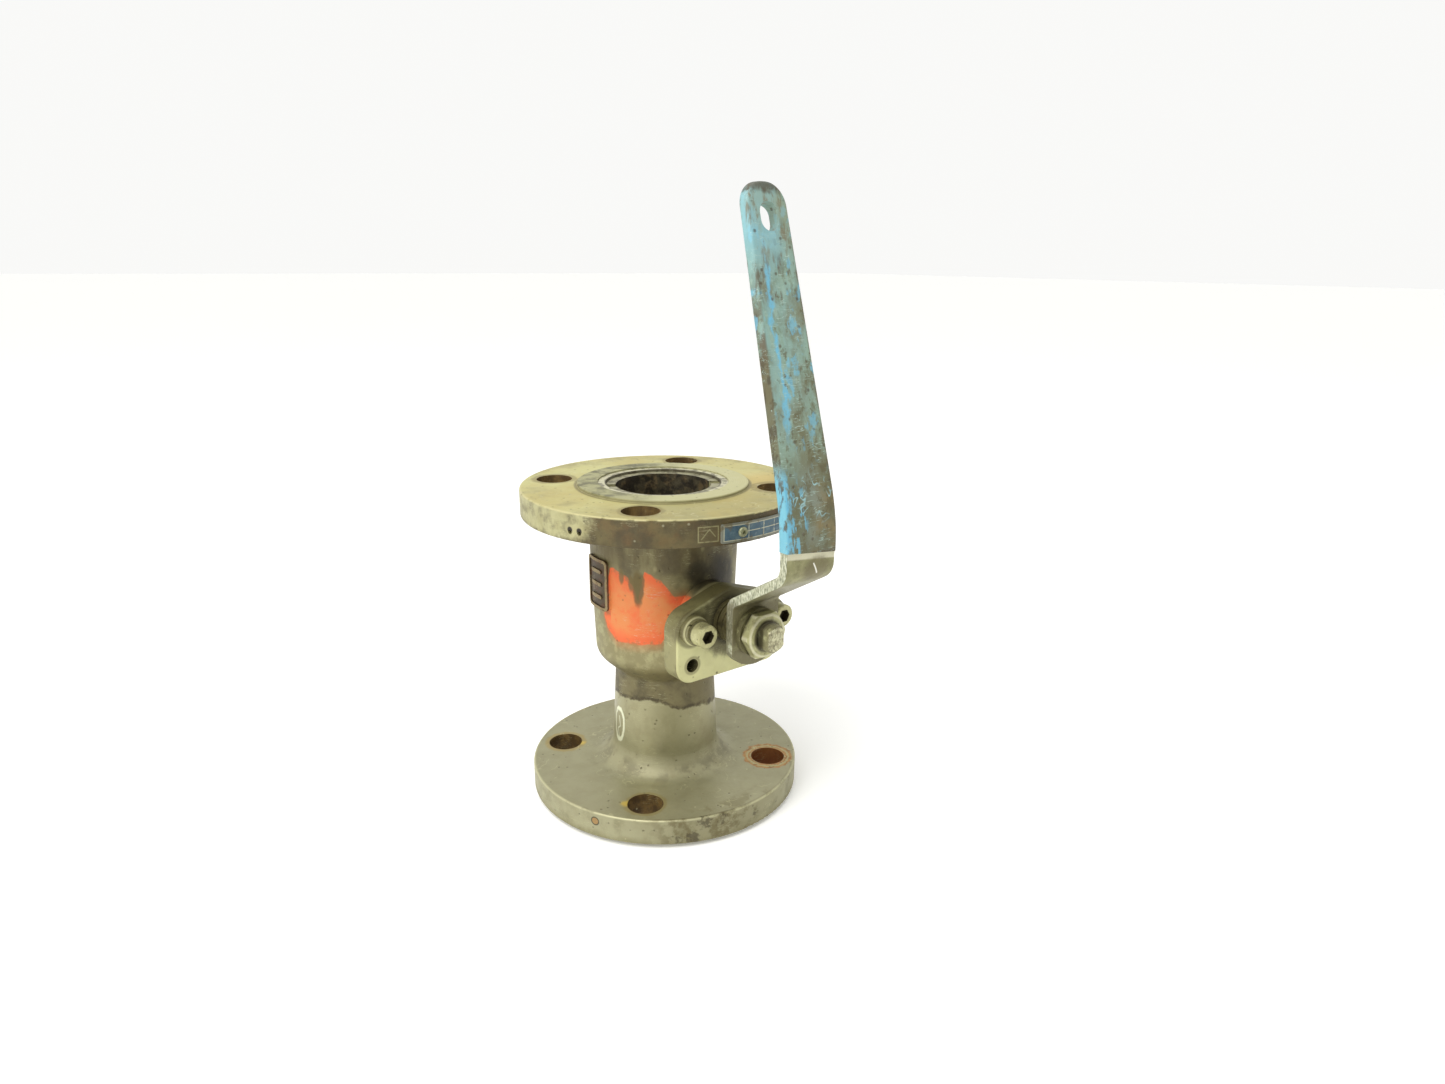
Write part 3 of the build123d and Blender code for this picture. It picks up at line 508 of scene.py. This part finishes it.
def upper_flange(s):
    """Olive rim that turns brown to the right, painted shade on the underside, yellow-tan top and pale
    raised face.
    """
    s.paint(tone(184, 178, 146), s.rim * 0.8)
    s.paint(tone(156, 148, 114), s.rim * s.patches(10, 40, 0.52, 0.12) * 0.6)
    ragged_angle = (s.cloud - 0.5) * 60
    brown_side = (s.angle + ragged_angle).above(-63, 9) * (s.angle + ragged_angle).below(138, 14) * s.rim
    s.paint(tone(72, 60, 38), brown_side * 0.96)
    s.paint(tone(112, 78, 44), brown_side * s.patches(12, 41, 0.58, 0.1) * 0.45)
    s.paint(tone(78, 66, 42), s.rim * s.z.near(161.8, 1.6, 1.2) * s.patches(8, 42, 0.48, 0.1) * 0.7)
    s.paint(tone(116, 104, 70), brown_side * s.patches(16, 23, 0.54, 0.14) * 0.5)
    s.paint(GRIME_AND_SHADE, s.rim * s.patches(9, 24, 0.56, 0.1) * 0.55)
    s.paint(CHALK, s.rim * s.spots(5, 0.6, 0.2, 6) * 0.25)
    # Painted shade on the flange's underside.
    shaded_underside = s.nz.below(-0.7, 0.15) * s.z.above(150, 2)
    s.paint(tone(94, 82, 56), shaded_underside * 0.7)
    s.paint(TAN, s.top_face * 0.9)
    s.paint(tone(164, 154, 114), s.top_face * (s.y + (s.cloud - 0.5) * 30).below(-34, 18) * 0.75)
    s.paint(tone(206, 166, 96), s.top_face * s.distance(s.x, s.y, (52, -30)).below(20, 14) * 0.5)
    s.paint(tone(184, 164, 106), s.top_face * s.patches(30, 25, 0.5, 0.18) * 0.6)
    s.paint(tone(150, 140, 108), s.top_face * s.patches(14, 26, 0.56, 0.14) * s.radius.above(60, 8) * 0.6)
    s.paint(tone(120, 108, 78), s.top_face * s.spots(4.5, 0.7, 0.4, 7) * 0.6)
    raised_face = s.z.above(177.2, 0.3) * s.radius.below(46.2, 0.2)
    s.paint(tone(200, 196, 164), raised_face * 0.85)
    grooves = s.math("SINE", s.radius * 5.2) * 0.5 + 0.5
    s.paint(tone(160, 152, 126), raised_face * grooves * 0.35)
    pitted = s.patches(10, 27, 0.5, 0.1) * raised_face
    s.paint(tone(150, 146, 114), raised_face * (s.y - s.x).above(6, 22) * 0.6)
    s.paint(tone(92, 88, 68), pitted * (s.y - s.x).above(10, 22) * 0.8)
    s.paint(tone(88, 82, 64), raised_face * s.spots(4, 0.5, 0.3, 8) * 0.6)
    s.paint(tone(132, 122, 92), s.top_face * s.radius.near(46.8, 0.9, 0.6) * 0.8)


def rim_marks(s):
    """The place of an older tag, two old holes and the dot of a plug."""
    across = arc(s.angle, FLANGE_RADIUS)
    tag_x = arc(TAG_PLACE_ANGLE, FLANGE_RADIUS)
    tag_place = across.near(tag_x, 5.2, 0.3) * s.z.near(TAG_PLACE_Z, 3.9, 0.3)
    s.paint(tone(96, 84, 58), tag_place * s.rim * 0.5)
    edge = tag_place - across.near(tag_x, 4.7, 0.2) * s.z.near(TAG_PLACE_Z, 3.4, 0.2)
    s.paint(tone(158, 150, 118), edge * s.rim * s.patches(2, 39, 0.42, 0.1) * 0.75)
    for start, end in (((-3.5, -2.4), (0.5, 2.4)), ((0.5, 2.4), (3.6, -1.4))):
        first = (tag_x + start[0], TAG_PLACE_Z + start[1])
        last = (tag_x + end[0], TAG_PLACE_Z + end[1])
        s.paint(tone(150, 142, 112), s.rim * 0.7 * s.stroke(across, s.z, first, last, 0.25, 0.15))
    for place in OLD_HOLE_ANGLES:
        ring = s.distance(across, s.z, (arc(place, FLANGE_RADIUS), OLD_HOLE_Z))
        s.paint(tone(176, 168, 136), s.rim * (ring + (s.fine - 0.5) * 5).below(3.0, 1.2) * 0.7)
        # Painted shade inside each old hole.
        s.paint(SOOT_AND_SHADE, s.rim * ring.below(1.5, 0.35))
    plug = s.distance(across, s.z, (arc(-63.7, FLANGE_RADIUS), 10.9))
    s.paint(tone(160, 120, 72), s.lower * s.radius.above(74, 1) * plug.below(2.1, 0.3) * 0.85)
    s.paint(SOOT_AND_SHADE, s.lower * s.radius.above(74, 1) * plug.near(2.2, 0.35, 0.2) * 0.8)


def lower_flange(s):
    """Stains on the rim, painted shade towards its bottom and front-right, painted highlights along the
    top edges of both flanges and blots on the front.
    """
    low_rim = s.lower * s.radius.above(74.5, 0.6)
    # Painted shade: the lower rim darker towards the bottom and on the front-right.
    s.paint(tone(124, 116, 84), low_rim * (s.z - (s.cloud - 0.5) * 14).below(4, 2.5) * 0.6)
    s.paint(tone(112, 104, 74), low_rim * s.angle.near(-8, 26, 22) * 0.45)
    s.paint(tone(112, 106, 78), low_rim * s.patches(12, 28, 0.58, 0.1) * 0.45)
    # Painted highlights along the top edges of both flanges.
    s.paint(tone(206, 200, 176), s.z.near(15.6, 0.5, 0.4) * s.radius.near(FLANGE_RADIUS - 0.4, 0.6, 0.5)
            * s.patches(8, 29, 0.4, 0.08) * 0.7)
    s.paint(tone(206, 196, 160), s.z.near(176.0, 0.5, 0.4) * s.radius.near(FLANGE_RADIUS - 0.4, 0.6, 0.5)
            * s.patches(8, 30, 0.42, 0.08) * 0.8)
    s.paint(tone(98, 86, 54), low_rim * s.angle.near(-16, 22, 9) * s.patches(7, 31, 0.54, 0.08) * 0.7)
    blots = (((-19, 13.0), 3.4), ((-12, 12), 2.6), ((-24, 5), 3.6), ((-30, 4), 2.4), ((4, 9), 1.8))
    for place, size in blots:
        blot = s.distance(arc(s.angle, FLANGE_RADIUS), s.z, (arc(place[0], FLANGE_RADIUS), place[1]))
        s.paint(GRIME_AND_SHADE, low_rim * (blot + (s.noise(2.5, 44) - 0.5) * 16).below(size - 0.6, 1.2) * 0.7)
    s.paint(tone(120, 110, 78), s.lower * s.nz.above(0.7, 0.2) * s.angle.near(-2, 20, 6)
            * s.radius.above(66, 3) * s.patches(8, 32, 0.56, 0.08) * 0.5)


def bolt_holes(s):
    """Stained and dark holes, with rings of rust round the one at the right front."""
    for across_x, across_y, stain, spread, amount in (
            (1, -1, tone(188, 174, 128), 4.2, 0.6), (-1, -1, tone(150, 128, 72), 2.0, 0.5),
            (-1, 1, tone(168, 140, 70), 2.6, 0.55), (1, 1, tone(150, 128, 72), 2.0, 0.4)):
        hole = s.distance(s.x, s.y, (across_x * BOLT_CENTRE, across_y * BOLT_CENTRE))
        ring = (hole + (s.fine - 0.5) * 4).below(BOLT_HOLE + spread, 0.9)
        s.paint(stain, ring * s.lower * amount)
        wall = hole.below(BOLT_HOLE + 0.15, 0.1)
        s.paint(tone(124, 96, 54), wall * 0.95)
        s.paint(tone(76, 56, 30), wall * s.patches(6, 33, 0.48, 0.12) * 0.8)
        s.paint(tone(128, 112, 70), ring * s.top_face * 0.55)

    right_front = s.distance(s.x, s.y, (BOLT_CENTRE, -BOLT_CENTRE))
    rusty = right_front + (s.noise(4, 43) - 0.5) * 6
    rust_rings = s.larger(rusty.near(BOLT_HOLE + 3.9, 0.8, 0.7), rusty.near(BOLT_HOLE + 0.9, 0.7, 0.5))
    rust_rings = rust_rings * s.lower * s.nz.above(0.7, 0.2)
    s.paint(tone(180, 122, 62), rust_rings * 0.8)
    s.paint(tone(124, 82, 44), rust_rings * s.patches(3, 45, 0.54, 0.08) * 0.7)
    s.paint(tone(136, 74, 30), right_front.below(BOLT_HOLE + 0.1, 0.1) * s.lower * 0.75)
    for place, size in (((-50.5, -36.0), 2.6), ((-36.0, 36.0), 2.2)):
        spot = s.distance(s.x, s.y, place) + (s.fine - 0.5) * 4
        s.paint(tone(214, 184, 92), spot.below(size, 1.4) * s.lower * s.nz.above(0.7, 0.2) * 0.8)


def pen_loop(s):
    """A white pen mark on the neck, as a plain loop."""
    neck_across = arc(s.angle, NECK_RADIUS)
    wobble = (s.noise(8, 34) - 0.5) * 2.4
    loop = s.distance(neck_across, s.z, (arc(-96.6, NECK_RADIUS), 40.2), 1.9) + wobble
    neck_only = s.zone(20, 56) * s.radius.below(36, 1)
    s.paint(tone(240, 240, 232), neck_only * loop.near(4.9, 0.75, 0.3) * 0.92)
    for start, end in (((-97, 45), (-94, 39)), ((-94, 39), (-99, 37)), ((-99, 37), (-95, 31))):
        first = (arc(start[0], NECK_RADIUS), start[1])
        last = (arc(end[0], NECK_RADIUS), end[1])
        s.paint(tone(240, 240, 232), neck_only * s.stroke(neck_across, s.z, first, last, 0.4, 0.25) * 0.75)


def bore_and_pits(s):
    """The dark bore, then pits, specks and scratches all over."""
    bore = s.radius.below(27, 0.3) * s.z.below(90, 1)
    s.paint(tone(86, 70, 46), bore * 0.85)
    s.paint(SOOT_AND_SHADE, bore * s.patches(7, 35, 0.5, 0.07) * 0.7)

    pits = s.spots(4.0, 0.55, 0.35, 1)
    s.paint(tone(88, 80, 58), pits * 0.55)
    s.raised(pits * -0.25)
    s.paint(tone(214, 208, 182), s.spots(9, 0.5, 0.3, 9) * 0.6)
    scratch = s.noise(2.4, 36, stretch=(6, 6, 0.35), detail=2).near(0.5, 0.008, 0.006)
    s.paint(tone(204, 198, 170), scratch * s.patches(14, 37, 0.55, 0.04) * 0.45)
    s.rough = s.rough + (s.fine - 0.5) * 0.3


def cast_body():
    """The casting, from the bare metal to its last marks."""
    s = CastShade()
    bare_casting(s)
    neck(s)
    chamber_wall(s)
    sprayed = orange_spray(s)
    for layer in (foundry_pad, stem_pad, upper_flange, rim_marks, lower_flange, bolt_holes, pen_loop,
                  bore_and_pits):
        layer(s)
    s.stain(OLIVE_CAST, 1 - sprayed)
    return s.finish()


# ---- grip ---------------------------------------------------------------------------------
BLUE = tone(104, 178, 214)
BLUE_PALE = tone(160, 206, 220)
TEAL = tone(136, 160, 148)
MUD = tone(114, 110, 80)


class GripShade(Shade):
    """The sleeve's shade, with places across it, from -1 to 1, and along it, from 0 to 1."""

    def __init__(self):
        super().__init__("dipped_vinyl", TEAL, 0.5)
        half_width = 15.6 - (self.z - 170) * 0.0288
        self.side = self.x / half_width
        self.share = (self.z - GRIP_LOW.z) / (GRIP_HIGH.z - GRIP_LOW.z)
        self.long_cloud = self.noise(8, 1, stretch=(1, 1, 2.0), detail=9, rough=0.68)
        self.cloud = self.noise(16, 2, stretch=(1, 1, 1.6), detail=5)
        self.fine = self.noise(2.2, 3, stretch=(1, 1, 2), detail=5)


def grip_grime(s):
    """Brown and olive grime, heavier low down, on the right and along the edges."""
    s.paint(tone(128, 170, 178), s.cloud.above(0.5, 0.14) * s.share.above(0.30, 0.15) * 0.7)
    s.paint(tone(108, 124, 100), s.long_cloud.above(0.55, 0.12) * 0.65)
    mud_pull = s.side * 0.05 + s.share.below(0.42, 0.2) * 0.08 - 0.04
    s.paint(MUD, (s.cloud + mud_pull).above(0.53, 0.1) * 0.75)
    s.paint(tone(92, 86, 56), (s.long_cloud + mud_pull).above(0.60, 0.09) * 0.7)
    s.paint(tone(92, 90, 62), s.share.below(0.26, 0.11) * 0.84)
    s.paint(tone(140, 112, 62), s.share.below(0.20, 0.08) * s.side.above(0.1, 0.3)
            * s.patches(12, 14, 0.5, 0.12) * 0.5)
    s.paint(tone(128, 140, 134), s.share.near(0.14, 0.10, 0.05) * s.side.near(0.1, 0.4, 0.3)
            * s.patches(10, 15, 0.48, 0.12) * 0.6)
    s.paint(tone(84, 64, 38), s.side.near(1.0, 0.09, 0.06) * s.patches(7, 4, 0.44, 0.08) * 0.8)
    s.paint(tone(84, 64, 38), s.side.near(-1.0, 0.07, 0.05) * s.share.near(0.55, 0.16, 0.1)
            * s.patches(7, 5, 0.42, 0.08) * 0.85)

    blots = s.noise(4.2, 19, stretch=(1, 1, 1.5), detail=9, rough=0.66)
    s.paint(tone(88, 82, 54), (blots + mud_pull * 0.6).above(0.585, 0.035) * 0.7)
    s.paint(tone(150, 176, 168), blots.below(0.40, 0.04) * s.share.above(0.3, 0.1) * 0.5)


def grip_blue(s):
    """Bright blue left where hands did not rub it, and the torn left edge."""
    low_strip = s.share.below(0.24, 0.03) * (s.side + (s.fine - 0.5) * 0.9).below(-0.80, 0.1)
    s.paint(BLUE, low_strip * s.patches(4, 16, 0.40, 0.08, stretch=(1, 1, 2)) * 0.9)
    spikes = s.share.below(0.20, 0.05) * s.noise(2.4, 6, stretch=(1, 1, 5), detail=3).above(0.56, 0.03)
    s.paint(BLUE, spikes * s.side.near(-0.55, 0.35, 0.15) * 0.8)
    streak = (s.side + (s.long_cloud - 0.5) * 1.6).near(-0.55, 0.09, 0.10) * s.share.near(0.62, 0.26, 0.08)
    s.paint(tone(100, 178, 218), streak * s.patches(5, 13, 0.42, 0.1, stretch=(1, 1, 3)) * 0.85)
    s.paint(BLUE, s.patches(5, 7, 0.60, 0.04, stretch=(1, 1, 1.8)) * s.share.above(0.30, 0.12) * 0.6)
    loose = s.noise(12, 8, detail=2).near(0.5, 0.010, 0.007) * s.share.near(0.17, 0.06, 0.03)
    s.paint(BLUE_PALE, loose * s.patches(9, 17, 0.5, 0.06) * 0.7)
    left_wall = s.nx.below(-0.6, 0.2)
    torn = s.noise(4, 18, stretch=(1, 1, 2.5))
    s.paint(tone(112, 176, 200), left_wall * s.share.below(0.26, 0.04) * torn.above(0.44, 0.06) * 0.9)
    s.paint(tone(74, 62, 38), left_wall * s.share.below(0.26, 0.04) * torn.below(0.42, 0.04) * 0.8)
    s.paint(tone(96, 90, 62), left_wall * s.share.near(0.40, 0.15, 0.05) * 0.85)
    s.paint(tone(64, 54, 34), left_wall * s.share.near(0.40, 0.15, 0.05) * torn.above(0.54, 0.05) * 0.8)


def grip_tip(s):
    """Paler tip, with brown runs and chips at its rim."""
    tip = s.share.above(0.80, 0.07)
    s.paint(tone(132, 186, 208), tip * s.side.below(0.35, 0.4) * 0.65)
    s.paint(tone(140, 160, 146), tip * s.cloud.above(0.54, 0.1) * 0.6)
    runs = s.noise(2.6, 9, stretch=(1, 1, 6)).above(0.57, 0.08)
    s.paint(tone(112, 92, 56), tip * runs * 0.7)
    ragged = s.share + (s.fine - 0.5) * 0.05
    s.paint(tone(70, 56, 36), ragged.above(0.975, 0.012) * 0.8)
    s.paint(tone(84, 68, 44), ragged.near(0.74, 0.05, 0.02) * runs * 0.75)


def grip_wear(s):
    """Worn lower lip, chips and fine scratches."""
    s.paint(tone(70, 58, 38), s.share.below(0.012, 0.006) * 0.7)
    chips = s.spots(4.5, 0.75, 0.4, 1)
    s.paint(tone(74, 64, 42), chips * 0.7)
    s.paint(tone(170, 196, 190), s.spots(5.5, 0.4, 0.25, 2) * 0.6)
    scratch = s.noise(3.4, 10, stretch=(5, 1, 0.5), detail=2).near(0.5, 0.010, 0.006)
    s.paint(tone(172, 196, 192), scratch * s.patches(12, 11, 0.52, 0.05) * 0.6)
    s.raised(s.noise(5, 12, detail=4) * 0.35 + s.fine * 0.14 + chips * -0.25)
    s.rough = s.rough + (s.fine - 0.5) * 0.4
    s.stain((0.97, 0.98, 0.90))


def grip_vinyl():
    """The dipped sleeve, from its grime to its wear."""
    s = GripShade()
    for layer in (grip_grime, grip_blue, grip_tip, grip_wear):
        layer(s)
    return s.finish()


# ---- steel pieces -------------------------------------------------------------------------
def weathered_steel(name, base, light, dark, rough, metal, seed, dirt=0.5):
    """Dull steel with clouds, dirt, pits and light worn places."""
    s = Shade(name, base, rough, metal)
    cloud = s.noise(6, seed, detail=5)
    fine = s.noise(1.2, seed + 1, detail=4)
    s.paint(light, cloud.above(0.54, 0.12) * 0.45)
    s.paint(dark, s.patches(4.5, seed + 2, 0.57, 0.1) * dirt)
    s.paint(light, fine.above(0.60, 0.06) * 0.3)
    pits = s.spots(1.8, 0.3, 0.4, seed)
    s.paint(dark, pits * 0.8)
    s.raised(fine * 0.10 + cloud * 0.08 + pits * -0.12)
    s.rough = s.rough + (fine - 0.5) * 0.3
    s.stain(OLIVE_CAST)
    return s


def lever_steel():
    """Bare bar with sheared, torn side walls."""
    s = weathered_steel("lever_steel", tone(138, 135, 104), tone(170, 166, 134),
                        tone(104, 96, 70), 0.42, 0.35, 11, 0.5)
    walls = abs(s.nx).above(0.7, 0.15)
    s.paint(tone(188, 190, 164), walls * 0.8)
    tear = s.noise(1.6, 14, stretch=(1, 0.6, 1.6), detail=4)
    s.paint(tone(118, 122, 100), walls * tear.above(0.55, 0.05) * 0.8)
    s.paint(tone(224, 224, 204), walls * tear.below(0.42, 0.04) * 0.7)
    s.raised(walls * tear * 0.35)
    face = abs(s.nx).below(0.5, 0.1)
    s.paint(tone(214, 210, 184), face * (s.z + s.x * 0.12).above(163.2, 0.5) * 0.75)
    patch = s.distance(s.x, s.z, (3.5, 157.5), 0.7) + (s.noise(4, 15) - 0.5) * 7
    s.paint(tone(104, 96, 66), face * patch.below(8.5, 3.0) * 0.75)
    s.paint(tone(120, 112, 84), face * s.z.near(144, 8, 4) * s.patches(8, 16, 0.46, 0.08) * 0.6)
    nick = s.stroke(s.x, s.z, (1.5, 161), (4.5, 155.5), 0.35, 0.2)
    s.paint(tone(236, 234, 222), face * nick * 0.9)
    s.paint(tone(92, 84, 58), s.z.below(STEM_Z + 18, 3) * s.patches(6, 17, 0.4, 0.08) * 0.7)
    s.paint(tone(112, 106, 78), face * s.z.below(150, 5) * 0.45)
    return s.finish()


def screw_steel():
    """Cap screws with dark sockets and darker bands round their heads, and their washers."""
    s = weathered_steel("screw_steel", tone(176, 170, 136), tone(208, 204, 172),
                        tone(84, 76, 54), 0.40, 0.4, 41, 0.5)
    for side in (-1, 1):
        reach = s.distance(s.x, s.z, (side * SCREW_X, STEM_Z))
        head = s.y.below(-65.3, 0.1)
        s.paint(tone(70, 63, 44), head * reach.below(3.75, 0.15) * s.y.above(-72.95, 0.1))
        s.paint(tone(88, 80, 54), (1 - head) * reach.near(7.0, 1.3, 0.5) * 0.6)
        s.paint(tone(60, 52, 34), head * s.y.above(-66.6, 0.5) * reach.near(6.0, 1.2, 0.3) * 0.8)
    return s.finish()


def nut_steel():
    """Worn nut, dark round the thread."""
    s = weathered_steel("nut_steel", tone(166, 162, 128), tone(204, 200, 166),
                        tone(82, 75, 54), 0.38, 0.45, 51, 0.45)
    reach = s.distance(s.x, s.z, (0, STEM_Z))
    s.paint(tone(60, 54, 36), reach.below(8.4, 0.8) * 0.85)
    s.paint(tone(212, 208, 178), reach.near(10.6, 0.6, 0.4) * s.y.below(-87.2, 0.4) * 0.55)
    s.paint(tone(84, 78, 52), s.y.above(-84.0, 0.9) * s.patches(4, 54, 0.38, 0.1) * 0.8)
    s.paint(tone(206, 202, 170), reach.above(12.2, 0.3) * s.y.below(-83, 0.5) * 0.6)
    return s.finish()


def stem_steel():
    """Stem with a light scored end and dirt behind it."""
    s = weathered_steel("stem_steel", tone(176, 172, 138), tone(210, 206, 176),
                        tone(92, 86, 62), 0.40, 0.35, 61, 0.45)
    end = s.y.below(-94.6, 0.2)
    s.paint(tone(108, 102, 74), (1 - end) * s.patches(5, 64, 0.42, 0.1) * 0.75)
    s.paint(tone(64, 58, 38), s.y.near(-89.5, 1.3, 0.8) * 0.8)
    s.paint(tone(208, 204, 172), end * 0.6)
    s.paint(tone(116, 108, 78), end * s.patches(3, 65, 0.54, 0.08) * 0.7)
    scores = s.noise(2.0, 66, stretch=(1, 1, 4), detail=2).near(0.5, 0.02, 0.012)
    s.paint(tone(84, 78, 54), end * scores * 0.7)
    return s.finish()


def machined_insert():
    """Turned insert with bright rings on its face and a dark bore."""
    s = weathered_steel("insert_steel", tone(170, 164, 136), tone(212, 206, 178),
                        tone(96, 88, 66), 0.5, 0.3, 21, 0.5)
    radius = s.distance(s.x, s.y, (0, 0))
    top = s.z.above(175.2, 0.3)
    s.paint(tone(206, 202, 172), top * radius.near(33, 2.3, 0.3) * 0.75)
    s.paint(tone(150, 146, 118), top * radius.near(28.2, 2.6, 0.4) * 0.7)
    s.paint(tone(80, 74, 56), top * radius.near(31.0, 0.45, 0.3) * 0.85)
    s.paint(tone(72, 64, 46), top * s.patches(4, 25, 0.54, 0.05) * 0.7)
    bore = radius.below(25.6, 0.2)
    s.paint(tone(62, 52, 36), bore * 0.9)
    s.paint(tone(116, 98, 66), bore * s.patches(5, 26, 0.53, 0.06) * 0.7)
    s.paint(tone(34, 28, 20), bore * s.patches(7, 27, 0.52, 0.06) * 0.8)
    s.raised(bore * s.noise(2.5, 28, detail=5) * 0.5)
    return s.finish()


def tag_metal():
    """Worn blue print with a pale border and ruled lines, and no words."""
    s = Shade("tag_metal", tone(82, 106, 118), 0.42, 0.3)
    low, high = [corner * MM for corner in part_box("nameplate")]
    across = arc(s.turn(), FLANGE_RADIUS)
    middle = arc(5.0, FLANGE_RADIUS)
    half = arc(19.0, FLANGE_RADIUS)
    centre_z = (low.z + high.z) / 2
    half_z = (high.z - low.z) / 2
    cream = tone(206, 202, 172)
    s.paint(tone(58, 84, 106), s.patches(8, 1, 0.5, 0.1) * 0.6)
    s.paint(tone(110, 130, 138), s.patches(3, 2, 0.56, 0.06) * 0.5)
    inner = across.near(middle, half - 1.3, 0.15) * s.z.near(centre_z, half_z - 1.0, 0.12)
    line = inner - across.near(middle, half - 1.7, 0.12) * s.z.near(centre_z, half_z - 1.35, 0.1)
    s.paint(cream, line * 0.9)
    wear = s.patches(3, 3, 0.40, 0.06)
    s.paint(cream, s.z.near(centre_z, 0.18, 0.1) * across.above(-4.2, 0.2) * inner * wear * 0.9)
    for place in (-3.4, 6.0, 13.5, 22.0):
        s.paint(cream, across.near(place, 0.2, 0.1) * inner * wear * 0.85)
    s.paint(tone(150, 142, 112), (1 - inner) * 0.55)
    s.paint(tone(108, 96, 66), s.patches(5, 4, 0.58, 0.05) * 0.7)
    s.paint(tone(190, 184, 158), s.spots(2.6, 0.3, 0.4, 3) * 0.7)
    s.raised(s.noise(2, 5) * 0.08)
    return s.finish()


def bright_ball():
    """Polished ball with faint marks of turning."""
    s = Shade("polished_ball", tone(196, 195, 190), 0.16, 0.95)
    swirl = s.noise(9, 1, stretch=(1, 1, 0.4), detail=5)
    s.paint(tone(160, 156, 144), swirl.above(0.56, 0.06) * 0.5)
    s.paint(tone(116, 104, 80), s.patches(12, 2, 0.60, 0.05) * 0.6)
    fine = s.noise(0.8, 3, stretch=(1, 1, 0.15), detail=3)
    s.raised(fine * 0.01)
    s.rough = s.rough + fine * 0.15
    return s.finish()


def seal_polymer():
    """White polymer of the seats and seals."""
    s = Shade("white_seal", tone(222, 219, 208), 0.5)
    s.paint(tone(200, 192, 168), s.patches(6, 1, 0.52, 0.08) * 0.6)
    s.paint(tone(150, 138, 108), s.spots(3, 0.35, 0.4, 2) * 0.6)
    turning = s.math("SINE", s.distance(s.x, s.y, (0, 0)) * 9.0)
    s.raised(turning * 0.02 + s.noise(1.5, 3) * 0.05)
    return s.finish()


dress(cast_body(), "valve_body")
dress(grip_vinyl(), "lever_grip")
dress(lever_steel(), "lever")
dress(machined_insert(), "body_insert")
dress(tag_metal(), "nameplate")
dress(bright_ball(), "ball")
dress(seal_polymer(), "insert_seal", "seat_ring_lower", "seat_ring_upper", "stem_thrust_washer",
      "packing_ring_inner", "packing_ring_middle", "packing_ring_outer")
dress(weathered_steel("gland_steel", tone(88, 80, 54), tone(128, 120, 88), tone(50, 43, 28),
                      0.55, 0.35, 31, 0.7).finish(),
      "compression_ring", "disc_spring_inner", "disc_spring_outer", "stop_plate")
dress(screw_steel(), "stop_screw_left", "stop_screw_right", "stop_screw_washer_left",
      "stop_screw_washer_right")
dress(nut_steel(), "stem_nut", "lever_lock_washer")
dress(stem_steel(), "stem")
dress(weathered_steel("drive_screw_metal", tone(150, 150, 130), tone(204, 202, 182),
                      tone(64, 64, 54), 0.4, 0.5, 71, 0.6).finish(),
      "nameplate_drive_screws")

# ---- floor --------------------------------------------------------------------------------
bpy.ops.mesh.primitive_plane_add(size=30, location=(0, 0, -0.0005))
floor = bpy.context.object
floor.name = "floor"
paper = Shade("paper", tone(253, 253, 251), 0.7)
paper.paint(tone(251, 251, 248), paper.patches(120, 1, 0.5, 0.2) * 0.5)
paper.surface.inputs["Emission Color"].default_value = (1, 1, 0.99, 1)
paper.surface.inputs["Emission Strength"].default_value = 0.16
floor.data.materials.append(paper.finish())
